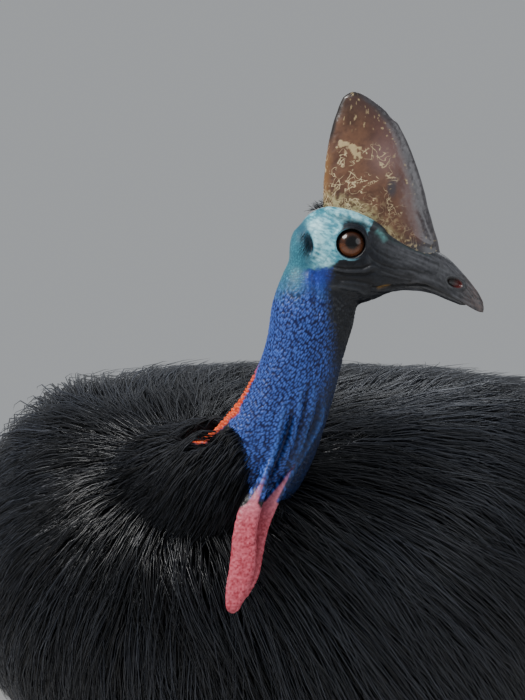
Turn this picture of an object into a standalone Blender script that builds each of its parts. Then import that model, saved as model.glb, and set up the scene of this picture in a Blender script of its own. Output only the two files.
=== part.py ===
# A southern cassowary, life size, standing with its neck drawn in and its head turned to its left.
# Metres, +Z up. The body faces -Y, so the bird's left side is +X. The soles stand on z = 0.

import math
import random

import bmesh
import bpy
import numpy as np
from mathutils import Vector
from mathutils.bvhtree import BVHTree

# The gap that neighbouring pieces keep, and the larger offset that leaves it after a cut.
GAP = 0.0003
CLEARANCE = 0.0005

# Driving sizes of the pose.
HEAD_TURN = math.radians(110)
EYE_HEIGHT = 1.152
NECK_ROOT = Vector((0.0, -0.33, 0.892))

# The head's own frame has its origin between the eyes, x along the bill, y to the bird's left and z up.
HEAD_FORWARD = Vector((math.sin(HEAD_TURN), -math.cos(HEAD_TURN), 0.0))
HEAD_LEFT = Vector((-HEAD_FORWARD.y, HEAD_FORWARD.x, 0.0))
HEAD_UP = Vector((0.0, 0.0, 1.0))
ROOT_FROM_EYES = Vector((-0.152, 0.120, NECK_ROOT.z - EYE_HEIGHT))
HEAD_CENTRE = NECK_ROOT - (
    HEAD_FORWARD * ROOT_FROM_EYES.x + HEAD_LEFT * ROOT_FROM_EYES.y + HEAD_UP * ROOT_FROM_EYES.z
)

COLOURS = {
    "plumage": ((0.012, 0.012, 0.014), 0.5),
    "blue_skin": ((0.03, 0.13, 0.5), 0.6),
    "wattle_skin": ((0.6, 0.09, 0.12), 0.6),
    "casque_horn": ((0.17, 0.1, 0.06), 0.4),
    "bill_horn": ((0.05, 0.05, 0.055), 0.4),
    "eye": ((0.12, 0.04, 0.015), 0.1),
    "leg_scales": ((0.2, 0.19, 0.15), 0.6),
    "claw_horn": ((0.06, 0.05, 0.045), 0.4),
    "quill": ((0.015, 0.014, 0.014), 0.35),
}


def from_head(point):
    """A point of the head's own frame, in the world."""
    return HEAD_CENTRE + HEAD_FORWARD * point[0] + HEAD_LEFT * point[1] + HEAD_UP * point[2]


def smooth_between(x, keys, values):
    """Values at x of a smooth curve through the keys, which never overshoots them."""
    keys = np.asarray(keys, float)
    values = np.asarray(values, float)
    steps = np.diff(keys)
    slopes = np.diff(values) / steps
    tangents = np.zeros(len(keys))
    tangents[0], tangents[-1] = slopes[0], slopes[-1]
    for i in range(1, len(keys) - 1):
        if slopes[i - 1] * slopes[i] > 0:
            tangents[i] = 2 * slopes[i - 1] * slopes[i] / (slopes[i - 1] + slopes[i])
    x = np.clip(x, keys[0], keys[-1])
    i = np.clip(np.searchsorted(keys, x, side="right") - 1, 0, len(steps) - 1)
    t = (x - keys[i]) / steps[i]
    return (
        values[i] * (1 + 2 * t) * (1 - t) ** 2
        + values[i + 1] * t * t * (3 - 2 * t)
        + steps[i] * (tangents[i] * t * (1 - t) ** 2 - tangents[i + 1] * t * t * (1 - t))
    )


def spline(points, count):
    """count points, evenly spaced in the parameter, on a smooth curve through the given ones."""
    points = np.asarray(points, float)
    keys = np.concatenate([[0], np.cumsum(np.linalg.norm(np.diff(points[:, :3], axis=0), axis=1))])
    x = np.linspace(0, keys[-1], count)
    padded = np.vstack([2 * points[0] - points[1], points, 2 * points[-1] - points[-2]])
    tangents = (padded[2:] - padded[:-2]) / 2
    i = np.clip(np.searchsorted(keys, x, side="right") - 1, 0, len(points) - 2)
    t = ((x - keys[i]) / (keys[i + 1] - keys[i]))[:, None]
    return (
        points[i] * (1 + 2 * t) * (1 - t) ** 2
        + points[i + 1] * t * t * (3 - 2 * t)
        + tangents[i] * t * (1 - t) ** 2
        - tangents[i + 1] * t * t * (1 - t)
    )


def power(value, exponent):
    """The signed power that turns a circle into a superellipse."""
    return math.copysign(abs(value) ** exponent, value)


def ring(centre, across, along, sides, squareness=2.0, along_back=None):
    """A closed loop round centre: half-axis vectors across and along, and along_back for its other half."""
    centre, across, along = Vector(centre), Vector(across), Vector(along)
    back = along if along_back is None else Vector(along_back)
    loop = []
    for k in range(sides):
        angle = 2 * math.pi * k / sides
        c, s = power(math.cos(angle), 2 / squareness), power(math.sin(angle), 2 / squareness)
        loop.append(centre + across * c + (along if s >= 0 else back) * s)
    return loop


def new_object(name, mesh):
    obj = bpy.data.objects.new(name, mesh)
    bpy.context.scene.collection.objects.link(obj)
    return obj


def loft(name, rings, start=None, end=None):
    """A closed body over rings of as many points each. An end is a point, or None for a flat cap."""
    shape = bmesh.new()
    loops = [[shape.verts.new(p) for p in loop] for loop in rings]
    sides = len(loops[0])
    for first, second in zip(loops, loops[1:]):
        for k in range(sides):
            n = (k + 1) % sides
            shape.faces.new((first[k], first[n], second[n], second[k]))
    for loop, tip, order in ((loops[0], start, -1), (loops[-1], end, 1)):
        if tip is None:
            shape.faces.new(loop[::order])
            continue
        point = shape.verts.new(tip)
        for k in range(sides):
            n = (k + 1) % sides
            corners = (loop[k], loop[n], point)
            shape.faces.new(corners[::order])
    bmesh.ops.recalc_face_normals(shape, faces=shape.faces)
    mesh = bpy.data.meshes.new(name)
    shape.to_mesh(mesh)
    shape.free()
    return new_object(name, mesh)


def ellipsoid(name, centre, axes, rows=8, sides=12):
    """An ellipsoid from its three half-axis vectors; the poles lie on the third."""
    centre = Vector(centre)
    first, second, pole = (Vector(a) for a in axes)
    rings = []
    for i in range(1, rows):
        angle = math.pi * i / rows
        r = math.sin(angle)
        rings.append(ring(centre + pole * math.cos(angle), first * r, second * r, sides))
    return loft(name, rings, centre + pole, centre - pole)


def evaluated(obj):
    """A new mesh of the object as its modifiers leave it."""
    bpy.context.view_layer.update()
    return bpy.data.meshes.new_from_object(obj.evaluated_get(bpy.context.evaluated_depsgraph_get()))


def remove(objects):
    for obj in objects:
        bpy.data.objects.remove(obj)


def drop_flaps(shape):
    """Drops pairs of faces that share all their corners, which rounding can leave where two locks cross."""
    groups = {}
    for face in shape.faces:
        groups.setdefault(frozenset(face.verts), []).append(face)
    flaps = [face for group in groups.values() if len(group) == 2 for face in group]
    bmesh.ops.delete(shape, geom=flaps, context="FACES")


def keep_largest(obj):
    """Drops every closed surface of the mesh but the largest."""
    shape = bmesh.new()
    shape.from_mesh(obj.data)
    bmesh.ops.triangulate(shape, faces=shape.faces)
    drop_flaps(shape)
    left, groups = set(shape.verts), []
    while left:
        stack, group = [left.pop()], []
        while stack:
            vert = stack.pop()
            group.append(vert)
            for edge in vert.link_edges:
                other = edge.other_vert(vert)
                if other in left:
                    left.remove(other)
                    stack.append(other)
        groups.append(group)
    groups.sort(key=len)
    loose = [vert for group in groups[:-1] for vert in group]
    bmesh.ops.delete(shape, geom=loose, context="VERTS")
    shape.to_mesh(obj.data)
    shape.free()


def boolean(obj, others, operation, solver="EXACT"):
    """Applies one Boolean with a collection of closed objects, which are then removed."""
    group = bpy.data.collections.new(obj.name + "_tools")
    bpy.context.scene.collection.children.link(group)
    for other in others:
        bpy.context.scene.collection.objects.unlink(other)
        group.objects.link(other)
    modifier = obj.modifiers.new("joined", "BOOLEAN")
    modifier.operation = operation
    modifier.operand_type = "COLLECTION"
    modifier.collection = group
    modifier.solver = solver
    mesh = evaluated(obj)
    obj.modifiers.clear()
    obj.data = mesh
    remove(list(group.objects))
    bpy.data.collections.remove(group)
    keep_largest(obj)
    return obj


def duplicate(obj):
    return new_object(obj.name + "_copy", obj.data.copy())


def grown(obj, by=CLEARANCE):
    """A copy of the object whose surface stands out by the given distance."""
    copy = duplicate(obj)
    shape = bmesh.new()
    shape.from_mesh(copy.data)
    shape.normal_update()
    normals = [v.normal.copy() * v.calc_shell_factor() for v in shape.verts]
    for vert, normal in zip(shape.verts, normals):
        vert.co += normal * by
    shape.to_mesh(copy.data)
    shape.free()
    return copy


def cut_clear(obj, *neighbours):
    """Cuts the object back from its neighbours, with the usual gap."""
    return boolean(obj, [grown(n) for n in neighbours], "DIFFERENCE")


def tube(name, points, radii, sides=8, flatten=1.0, side_axis=None):
    """A tapered round or flattened tube through the points, closed by its last point."""
    points = [Vector(p) for p in points]
    rings = []
    for i, point in enumerate(points[:-1]):
        direction = (points[i + 1] - points[max(i - 1, 0)]).normalized()
        reference = Vector(side_axis) if side_axis is not None else Vector((1.0, 0.0, 0.0))
        across = (reference - direction * reference.dot(direction)).normalized()
        along = direction.cross(across)
        rings.append(ring(point, across * radii[i] * flatten, along * radii[i], sides))
    return loft(name, rings, None, points[-1])


# The torso's core, by u from the pole at the neck's foot (0) to the pole under the tail (1): the middle of
# each ring, how far the ring leans back, and its half width and reach up and down.
CORE_U = (0.0, 0.10, 0.25, 0.45, 0.65, 0.82, 1.0)
CORE_Y = (-0.366, -0.342, -0.255, -0.055, 0.200, 0.385, 0.510)
CORE_Z = (0.915, 0.892, 0.825, 0.772, 0.750, 0.705, 0.630)
CORE_LEAN = tuple(math.radians(a) for a in (52.0, 46.0, 30.0, 9.0, 0.0, -10.0, -24.0))
CORE_HALF_WIDTH = (0.0, 0.138, 0.266, 0.328, 0.316, 0.226, 0.0)
CORE_UP = (0.0, 0.085, 0.162, 0.206, 0.212, 0.168, 0.0)
CORE_DOWN = (0.0, 0.112, 0.205, 0.232, 0.218, 0.150, 0.0)
CORE_SQUARENESS_ABOVE = 3.5
CORE_SQUARENESS_BELOW = 2.2
TAIL_U = 0.80
TAIL_GAP_U = 0.0008

# The long feathers lie on the core as flat locks: how far each station of a lock stands out of the core, and
# its half width and half thickness as shares of the lock's own.
LOCK_STATIONS = (0.0, 0.28, 0.64)
LOCK_OUT = (-0.014, 0.0125, 0.0265)
LOCK_TIP_OUT = 0.036
LOCK_WIDTHS = (0.66, 1.0, 0.76)
LOCK_THICKNESSES = (1.0, 1.0, 0.65)
LOCK_HALF_WIDTH = 0.036
LOCK_HALF_THICKNESS = 0.0030
LOCK_LENGTH = 0.215
LOCK_SPACING = 0.108
LOCK_STEP = 0.01
LOCK_CLEARANCE = 0.003
TORSO_ROWS = (0.052, 0.115, 0.178, 0.240, 0.302, 0.364, 0.426, 0.488, 0.550, 0.615, 0.682)
TORSO_LAST_TIP = 0.835
TAIL_ROWS = (0.824, 0.872)
TAIL_LAST_TIP = 0.965
THIGH_ROWS = ((0.34, 8, 0.125), (0.50, 7, 0.110), (0.67, 6, 0.090))


def way_along(u):
    """The share of the torso's length at u, which slows down at both poles so that they are round."""
    return (1 - math.cos(math.pi * u)) / 2


CORE_WAY = tuple(way_along(u) for u in CORE_U)


def torso_point(u, angle, out=0.0):
    """A point of the core's surface; angle 0 is the bird's left, a quarter turn its back."""
    way = way_along(u)
    y = float(smooth_between(way, CORE_WAY, CORE_Y))
    z = float(smooth_between(way, CORE_WAY, CORE_Z))
    lean = float(smooth_between(way, CORE_WAY, CORE_LEAN))
    width = float(smooth_between(u, CORE_U, CORE_HALF_WIDTH)) + out
    up = float(smooth_between(u, CORE_U, CORE_UP)) + out
    down = float(smooth_between(u, CORE_U, CORE_DOWN)) + out
    squareness = CORE_SQUARENESS_ABOVE if math.sin(angle) > 0 else CORE_SQUARENESS_BELOW
    c = power(math.cos(angle), 2 / squareness)
    s = power(math.sin(angle), 2 / squareness)
    rise = (up if s > 0 else down) * s
    facing = Vector((0.0, -math.cos(lean), math.sin(lean)))
    ring_up = Vector((0.0, math.sin(lean), math.cos(lean)))
    return Vector((width * c, y, z)) + ring_up * rise + facing * (out * math.cos(math.pi * u))


def torso_shell(name, first, last, rows, sides, out=0.0):
    """A closed stretch of the torso's form; an end at a pole is a point, any other a flat cap."""
    stations = np.linspace(first, last, rows + 1)
    inner = [u for u in stations if 0.0 < u < 1.0]
    rings = [[torso_point(u, 2 * math.pi * k / sides, out) for k in range(sides)] for u in inner]
    start = torso_point(0.0, 0.0, out) if first == 0.0 else None
    end = torso_point(1.0, 0.0, out) if last == 1.0 else None
    if start is not None:
        start.x = 0.0
    if end is not None:
        end.x = 0.0
    return loft(name, rings, start, end)


def lie_of_coat(u, angle, ahead):
    """The way a feather lies at a point of the torso: back from the neck, and sagging down the sides."""
    step = 0.004
    along = (torso_point(min(u + step, 1.0), angle) - torso_point(u - step, angle)) / (2 * step)
    around = (torso_point(u, angle + step) - torso_point(u, angle - step)) / (2 * step)
    normal = along.cross(around).normalized()
    sag = 0.12 + 0.60 * min(max((u - 0.12) / 0.45, 0.0), 1.0)
    down = Vector((0.0, 0.0, -1.0))
    down -= normal * down.dot(normal)
    way = along.normalized() + down * sag + around.normalized() * ahead
    way = (way - normal * way.dot(normal)).normalized()
    sides = np.array([along, around]).T
    (d_u, d_angle), *_ = np.linalg.lstsq(sides, np.array(way), rcond=None)
    return way, normal, d_u, d_angle


def coat_path(u, angle, length, swerve, last_u):
    """Points, normals and directions each LOCK_STEP along the lie of the coat, up to last_u."""
    path = []
    for _ in range(int(length / LOCK_STEP) + 2):
        if u >= last_u - 0.02:
            break
        way, normal, d_u, d_angle = lie_of_coat(u, angle, swerve)
        path.append((torso_point(u, angle), normal, way))
        u += d_u * LOCK_STEP
        angle += d_angle * LOCK_STEP
    return path


def lock(path, length, width):
    """One flat, tapered lock along a path of points, normals and directions."""
    def at(share, out):
        place = share * length / LOCK_STEP
        i = min(int(place), len(path) - 2)
        point, normal, way = (a.lerp(b, place - i) for a, b in zip(path[i], path[i + 1]))
        return point + normal * out, normal, way

    rings = []
    for share, out, wide, thick in zip(LOCK_STATIONS, LOCK_OUT, LOCK_WIDTHS, LOCK_THICKNESSES):
        centre, normal, way = at(share, out * length / LOCK_LENGTH if out > 0 else out)
        across = normal.cross(way).normalized() * width * wide
        rise = normal * LOCK_HALF_THICKNESS * thick
        rings.append([centre + across, centre + rise, centre - across, centre - rise])
    tip = at(1.0, LOCK_TIP_OUT * length / LOCK_LENGTH)[0]
    return loft("lock", rings, None, tip)


def surface(obj):
    return BVHTree.FromPolygons([v.co for v in obj.data.vertices], [p.vertices for p in obj.data.polygons])


def touches(obj, trees):
    """True where the object crosses one of the surfaces, or an edge of it comes too near one."""
    own = surface(obj)
    verts = obj.data.vertices
    points = [v.co for v in verts]
    points += [verts[a].co.lerp(verts[b].co, t) for a, b in (e.vertices for e in obj.data.edges)
               for t in (0.25, 0.5, 0.75)]
    for tree in trees:
        if tree.overlap(own) or any(tree.find_nearest(p, LOCK_CLEARANCE)[0] for p in points):
            return True
    return False


def fitted_lock(path, length, width, trees):
    """The lock, made shorter where it would touch a neighbour, or None where none fits."""
    for share in (1.0, 0.8, 0.62, 0.48):
        made = lock(path, length * share, width * (0.4 + 0.6 * share))
        if not touches(made, trees):
            return made
        remove([made])
    return None


def coat_locks(rows, last_u, draw, neighbours):
    """Rows of overlapping locks round the torso, staggered and varied."""
    trees = [surface(n) for n in neighbours]
    locks = []
    for row, u in enumerate(rows):
        loop = [torso_point(u, 2 * math.pi * k / 48) for k in range(48)]
        reaches = [(b - a).length for a, b in zip(loop, loop[1:] + loop[:1])]
        count = max(7, round(sum(reaches) / LOCK_SPACING))
        lengths = np.concatenate([[0.0], np.cumsum(reaches)])
        for k in range(count):
            place = (k + 0.5 * (row % 2) + draw.uniform(-0.16, 0.16)) / count % 1.0
            angle = float(np.interp(place * lengths[-1], lengths, np.linspace(0, 2 * math.pi, 49)))
            start = u + draw.uniform(-0.012, 0.012)
            path = coat_path(start, angle, LOCK_LENGTH * draw.uniform(0.8, 1.1), draw.uniform(-0.16, 0.16), last_u)
            length = (len(path) - 1) * LOCK_STEP
            width = LOCK_HALF_WIDTH * draw.uniform(0.78, 1.12) * min(1.0, 0.4 + 0.6 * length / LOCK_LENGTH)
            made = fitted_lock(path, length, width, trees) if length > 0.06 else None
            if made is not None:
                locks.append(made)
    return locks


# Head and neck, all in the head's own frame.
SKULL_X = (-0.052, -0.040, -0.022, 0.000, 0.022, 0.042, 0.060, 0.078)
SKULL_TOP = (0.016, 0.030, 0.037, 0.038, 0.031, 0.013, 0.002, -0.007)
SKULL_BOTTOM = (-0.034, -0.045, -0.055, -0.062, -0.057, -0.049, -0.047, -0.048)
SKULL_HALF_WIDTH = (0.018, 0.025, 0.030, 0.0325, 0.031, 0.026, 0.021, 0.017)
SKULL_BACK = (-0.061, 0.0, -0.010)

EYE_RADIUS = 0.0162
EYE_DEPTH = 0.0185
LID_RADIUS = 0.0128
LID_THICKNESS = 0.0027
EAR = (-0.041, 0.026, -0.001)

NECK_PATH = (
    (-0.026, 0.000, -0.020),
    (-0.034, 0.000, -0.056),
    (-0.044, 0.004, -0.102),
    (-0.053, 0.008, -0.135),
    (-0.066, 0.014, -0.170),
    (-0.084, 0.026, -0.205),
    (-0.108, 0.052, -0.236),
    tuple(ROOT_FROM_EYES),
)
NECK_FORE_AFT = (0.040, 0.043, 0.0395, 0.0405, 0.044, 0.050, 0.055, 0.060)
NECK_ACROSS = (0.027, 0.029, 0.0315, 0.033, 0.035, 0.040, 0.047, 0.054)
NECK_SPLIT = 0.42
NECK_FEATHERED = 0.66
COLLAR_LEAN = 0.075
COLLAR_THICKNESS = 0.012
NECK_SQUARENESS = 2.1
NECK_SIDES = 18
NECK_SKIN = spline(np.column_stack([NECK_PATH, NECK_FORE_AFT, NECK_ACROSS]), 61)

BILL_X = (0.066, 0.082, 0.096, 0.110, 0.122, 0.130)
BILL_TOP = (-0.001, -0.006, -0.0135, -0.027, -0.041, -0.054)
BILL_MOUTH = (-0.0405, -0.0425, -0.0455, -0.0515, -0.0585, -0.0640)
BILL_BOTTOM = (-0.0475, -0.0500, -0.0535, -0.0590, -0.0640, -0.0675)
BILL_HALF_WIDTH = (0.0185, 0.0160, 0.0135, 0.0105, 0.0075, 0.0045)
BILL_TIP = (0.1340, 0.0, -0.0680)
LOWER_TIP = (0.1275, 0.0, -0.0680)
BILL_SIDES = 12
NOSTRIL = (0.105, 0.0125, -0.0395)

# The casque's outline at each height: rear edge, front edge and half its thickness.
CASQUE_Z = (0.000, 0.016, 0.034, 0.052, 0.075, 0.100, 0.120, 0.135, 0.145)
CASQUE_REAR = (0.030, 0.006, -0.018, -0.0265, -0.0255, -0.0220, -0.0155, -0.0095, -0.0030)
CASQUE_FRONT = (0.0880, 0.0835, 0.0775, 0.0735, 0.0680, 0.0580, 0.0465, 0.0330, 0.0190)
CASQUE_HALF_THICKNESS = (0.0165, 0.0185, 0.0190, 0.0170, 0.0140, 0.0110, 0.0085, 0.0065, 0.0050)
CASQUE_TOP = (0.006, 0.0, 0.151)


def skull():
    rings = []
    for x, top, bottom, half in zip(SKULL_X, SKULL_TOP, SKULL_BOTTOM, SKULL_HALF_WIDTH):
        middle = (top + bottom) / 2
        rings.append([from_head(p) for p in ring(
            (x, 0.0, middle), (0.0, half, 0.0), (0.0, 0.0, (top - bottom) / 2), 20, 2.2
        )])
    return loft("head", rings, from_head(SKULL_BACK), None)


def neck_point(share, angle, out=0.0):
    """A point of the neck's skin; angle 0 is the throat, a quarter turn the bird's left."""
    share = min(max(share, 0.0), 1.0)
    step = 0.02
    shares = np.linspace(0, 1, len(NECK_SKIN))
    row, ahead, behind = (
        [float(np.interp(s, shares, NECK_SKIN[:, k])) for k in range(5)]
        for s in (share, share + step, share - step)
    )
    direction = (Vector(ahead[:3]) - Vector(behind[:3])).normalized()
    forward = Vector((1.0, 0.0, 0.0))
    forward = (forward - direction * forward.dot(direction)).normalized()
    side = direction.cross(forward)
    reach = power(math.cos(angle), 2 / NECK_SQUARENESS) * (row[3] + out)
    width = power(math.sin(angle), 2 / NECK_SQUARENESS) * (row[4] + out)
    return from_head(Vector(row[:3]) + forward * reach + side * width)


def neck_rings(first, last, rows, out=0.0, lean_first=0.0, lean_last=0.0):
    """Rings of the neck between two shares of its length; a lean moves the throat's side further down."""
    rings = []
    for row in range(rows + 1):
        way = row / rows
        loop = []
        for k in range(NECK_SIDES):
            angle = 2 * math.pi * k / NECK_SIDES
            lean = (lean_first + (lean_last - lean_first) * way) * math.cos(angle)
            loop.append(neck_point(first + (last - first) * way + lean, angle, out))
        rings.append(loop)
    return rings


def make_collar():
    """The foot of the neck, thickened by its short, dense feathers, with a rounded upper rim."""
    rings = neck_rings(NECK_FEATHERED, NECK_FEATHERED + 0.01, 1, COLLAR_THICKNESS * 0.4, COLLAR_LEAN)[:1]
    rings += neck_rings(NECK_FEATHERED + 0.02, 1.0, 5, COLLAR_THICKNESS, COLLAR_LEAN)
    return loft("neck_base", rings, sum(rings[0], Vector()) / NECK_SIDES, sum(rings[-1], Vector()) / NECK_SIDES)


def make_eyes():
    eyes = []
    for name, side in (("eye_left", 1), ("eye_right", -1)):
        centre = from_head((0.0, side * EYE_DEPTH, 0.0))
        axes = (HEAD_FORWARD * EYE_RADIUS, HEAD_UP * EYE_RADIUS, HEAD_LEFT * side * EYE_RADIUS)
        eyes.append(ellipsoid(name, centre, axes, 8, 14))
    return eyes


def lid(side):
    """The fleshy ring round one eye, on the side of the head."""
    lateral = EYE_DEPTH + math.sqrt(EYE_RADIUS**2 - LID_RADIUS**2) + 0.0006
    rings = []
    for k in range(12):
        angle = 2 * math.pi * k / 12
        out = Vector((math.cos(angle), 0.0, math.sin(angle)))
        centre = out * (LID_RADIUS + LID_THICKNESS * 0.8) + Vector((0.0, side * lateral, 0.0))
        rings.append([from_head(p) for p in ring(
            centre, out * LID_THICKNESS, (0.0, LID_THICKNESS * 1.5, 0.0), 5
        )])
    rings.append(rings[0])
    shape = bmesh.new()
    loops = [[shape.verts.new(p) for p in loop] for loop in rings[:-1]]
    for i, first in enumerate(loops):
        second = loops[(i + 1) % len(loops)]
        for k in range(5):
            n = (k + 1) % 5
            shape.faces.new((first[k], first[n], second[n], second[k]))
    bmesh.ops.recalc_face_normals(shape, faces=shape.faces)
    mesh = bpy.data.meshes.new("lid")
    shape.to_mesh(mesh)
    shape.free()
    return new_object("lid", mesh)


def brow(side):
    """The swollen brow that runs over the eye, along the casque's foot."""
    centre = from_head((0.010, side * 0.0205, 0.0215))
    axes = (
        HEAD_UP * 0.0070 + HEAD_FORWARD * 0.003,
        HEAD_LEFT * 0.0080,
        HEAD_FORWARD * 0.033 - HEAD_UP * 0.013,
    )
    return ellipsoid("brow", centre, axes, 8, 10)


def ear_hollow(side):
    centre = from_head((EAR[0], side * (EAR[1] + 0.004), EAR[2]))
    return ellipsoid("ear_hollow", centre, (HEAD_FORWARD * 0.0045, HEAD_UP * 0.0095, HEAD_LEFT * 0.009), 6, 8)


def bill_half(name, rows, tip, widen, lift_sign):
    """One half of the bill: an arch over its flat side, which is the line of the mouth."""
    rings = []
    for x, half, edge, mouth in rows:
        loop = []
        for k in range(BILL_SIDES):
            angle = math.pi * k / (BILL_SIDES - 1)
            y = half * widen * power(math.cos(angle), 0.8)
            z = mouth + lift_sign * (abs(edge - mouth) * math.sin(angle) ** 0.9 + GAP / 2)
            loop.append(from_head((x, y, z)))
        rings.append(loop)
    return loft(name, rings, None, from_head(tip))


def make_bill():
    """The upper and lower bill, parted by the line of the mouth."""
    upper = list(zip(BILL_X, BILL_HALF_WIDTH, BILL_TOP, BILL_MOUTH))
    lower = list(zip(BILL_X, BILL_HALF_WIDTH, BILL_BOTTOM, BILL_MOUTH))[:-1]
    return (
        bill_half("bill_upper", upper, BILL_TIP, 1.0, 1),
        bill_half("bill_lower", lower, LOWER_TIP, 0.86, -1),
    )


def nostril_hollow(side):
    centre = from_head((NOSTRIL[0], side * (NOSTRIL[1] + 0.001), NOSTRIL[2]))
    axes = (
        HEAD_FORWARD * 0.0068 - HEAD_UP * 0.0026,
        HEAD_UP * 0.0033 + HEAD_FORWARD * 0.001,
        HEAD_LEFT * 0.005,
    )
    return ellipsoid("nostril_hollow", centre, axes, 6, 10)


def make_casque():
    rings = []
    for z in np.linspace(CASQUE_Z[0], CASQUE_Z[-1], 13):
        rear = float(smooth_between(z, CASQUE_Z, CASQUE_REAR))
        front = float(smooth_between(z, CASQUE_Z, CASQUE_FRONT))
        half = float(smooth_between(z, CASQUE_Z, CASQUE_HALF_THICKNESS))
        loop = []
        for k in range(18):
            angle = 2 * math.pi * k / 18
            along = math.cos(angle)
            x = (rear + front) / 2 + (front - rear) / 2 * along
            keel = 0.75 if along > 0 else 0.9
            y = half * power(math.sin(angle), keel) * (1 - 0.35 * max(along, 0) ** 2)
            loop.append(from_head((x, y, float(z))))
        rings.append(loop)
    return loft("casque", rings, None, from_head(CASQUE_TOP))


# Wattles: centre, half-width and half-thickness down each lobe, in the head's own frame.
WATTLE_RIGHT = (
    (-0.080, -0.0080, -0.213, 0.0040, 0.0040),
    (-0.086, -0.0160, -0.236, 0.0070, 0.0045),
    (-0.098, -0.0260, -0.259, 0.0110, 0.0045),
    (-0.105, -0.0320, -0.288, 0.0120, 0.0045),
    (-0.107, -0.0350, -0.318, 0.0130, 0.0050),
    (-0.112, -0.0370, -0.343, 0.0120, 0.0050),
    (-0.1165, -0.0380, -0.360, 0.0075, 0.0040),
)
WATTLE_LEFT = (
    (-0.052, 0.0060, -0.213, 0.0040, 0.0040),
    (-0.064, 0.0000, -0.237, 0.0065, 0.0045),
    (-0.080, -0.0110, -0.259, 0.0095, 0.0045),
    (-0.092, -0.0180, -0.284, 0.0110, 0.0045),
    (-0.098, -0.0210, -0.308, 0.0115, 0.0050),
    (-0.102, -0.0225, -0.332, 0.0110, 0.0050),
    (-0.106, -0.0235, -0.347, 0.0070, 0.0040),
)


def make_wattle(name, stations):
    rows = spline(stations, 9)
    rings = []
    for row in rows:
        flat = Vector((row[3], -0.15 * row[3], 0.0))
        thick = Vector((0.15, 1.0, 0.0)).normalized() * row[4]
        rings.append([from_head(p) for p in ring(row[:3], flat, thick, 10, 2.4)])
    last = Vector(rows[-1][:3]) + Vector((-0.001, 0.0, -0.005))
    return loft(name, rings, None, from_head(last))


# A wing: where its bare stub lies on the flank, as (u, angle) from its root to its tip, and its quills.
WING_ROOT = (0.43, 0.34)
WING_TIP = (0.535, 0.16)
WING_RADII = (0.030, 0.028, 0.024, 0.020, 0.012)
QUILL_COUNT = 5
QUILL_RADIUS = 0.0030


def flank_point(u, angle, side, out):
    """A point by the torso's surface on one side; the angle is taken up from the bird's own side."""
    return torso_point(u, angle if side > 0 else math.pi - angle, out)


def make_wing(side, name):
    """The stub of the wing with its few bare quills, which bend back and down along the flank."""
    points = []
    for i in range(len(WING_RADII) + 1):
        share = i / len(WING_RADII)
        u, angle = (a + (b - a) * share for a, b in zip(WING_ROOT, WING_TIP))
        points.append(flank_point(u, angle, side, 0.004 + 0.010 * math.sin(math.pi * share)))
    wing = tube(name, points, WING_RADII, 12, 0.62, (1.0, 0.0, 0.0))
    quills = []
    for k in range(QUILL_COUNT):
        spread = k / (QUILL_COUNT - 1)
        root_share = 0.45 + 0.45 * spread
        root = [a + (b - a) * root_share for a, b in zip(WING_ROOT, WING_TIP)]
        length = 0.13 + 0.05 * math.sin(math.pi * (0.25 + 0.6 * spread))
        drop = 0.62 - 0.26 * spread
        path, radii = [], []
        for i in range(6):
            t = i / 5
            u = root[0] + length * (0.75 * t + 0.25 * t * t)
            angle = root[1] - drop * t**1.5
            path.append(flank_point(u, angle, side, 0.012 + 0.036 * min(1.0, 2.6 * t) - 0.012 * t * t))
            radii.append(QUILL_RADIUS * (1.0 - 0.55 * t))
        quills.append(tube("quill", path, radii, 4))
    return boolean(wing, quills, "UNION")


# Legs: sizes for one side, mirrored by the sign of x; stagger moves each foot along y.
HIP = (0.125, 0.000, 0.640)
ANKLE = (0.118, 0.140, 0.372)
FOOT = (0.122, 0.088, 0.048)
STAGGER = 0.022
THIGH_RADII = (0.125, 0.122, 0.105, 0.076, 0.047, 0.034)
SHANK_RADII = (0.0400, 0.0300, 0.0260, 0.0255, 0.0270, 0.0320)
TOE_SOLE = 0.0
TOES = {
    "inner": (-27.0, (0.034, 0.068, 0.094), (0.0225, 0.0210, 0.0180), 0.105),
    "middle": (0.0, (0.038, 0.086, 0.136, 0.172), (0.0255, 0.0235, 0.0215, 0.0180), 0.045),
    "outer": (30.0, (0.034, 0.075, 0.115), (0.0225, 0.0205, 0.0170), 0.038),
}


def leg_point(point, side, share=1.0):
    """A leg point on one side; share says how much of the foot's stagger it takes."""
    return Vector((point[0] * side, point[1] - side * STAGGER * share, point[2]))


def thigh_point(side, share, angle, out=0.0):
    """A point of the thigh's surface; angle 0 is across the bird and a quarter turn the front."""
    top, bottom = leg_point(HIP, side, 0.0), leg_point(ANKLE, side)
    axis = (bottom - top).normalized()
    bottom -= axis * 0.030
    forward = Vector((0.0, -1.0, 0.0))
    forward = (forward - axis * forward.dot(axis)).normalized()
    radius = float(np.interp(share, np.linspace(0, 1, len(THIGH_RADII)), THIGH_RADII))
    across = axis.cross(forward) * (0.8 * radius + out)
    return top.lerp(bottom, share) + across * math.cos(angle) + forward * (radius + out) * math.sin(angle)


def make_thigh(side, name):
    shares = np.linspace(0, 1, len(THIGH_RADII))
    return loft(name, [[thigh_point(side, s, 2 * math.pi * k / 16) for k in range(16)] for s in shares])


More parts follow.
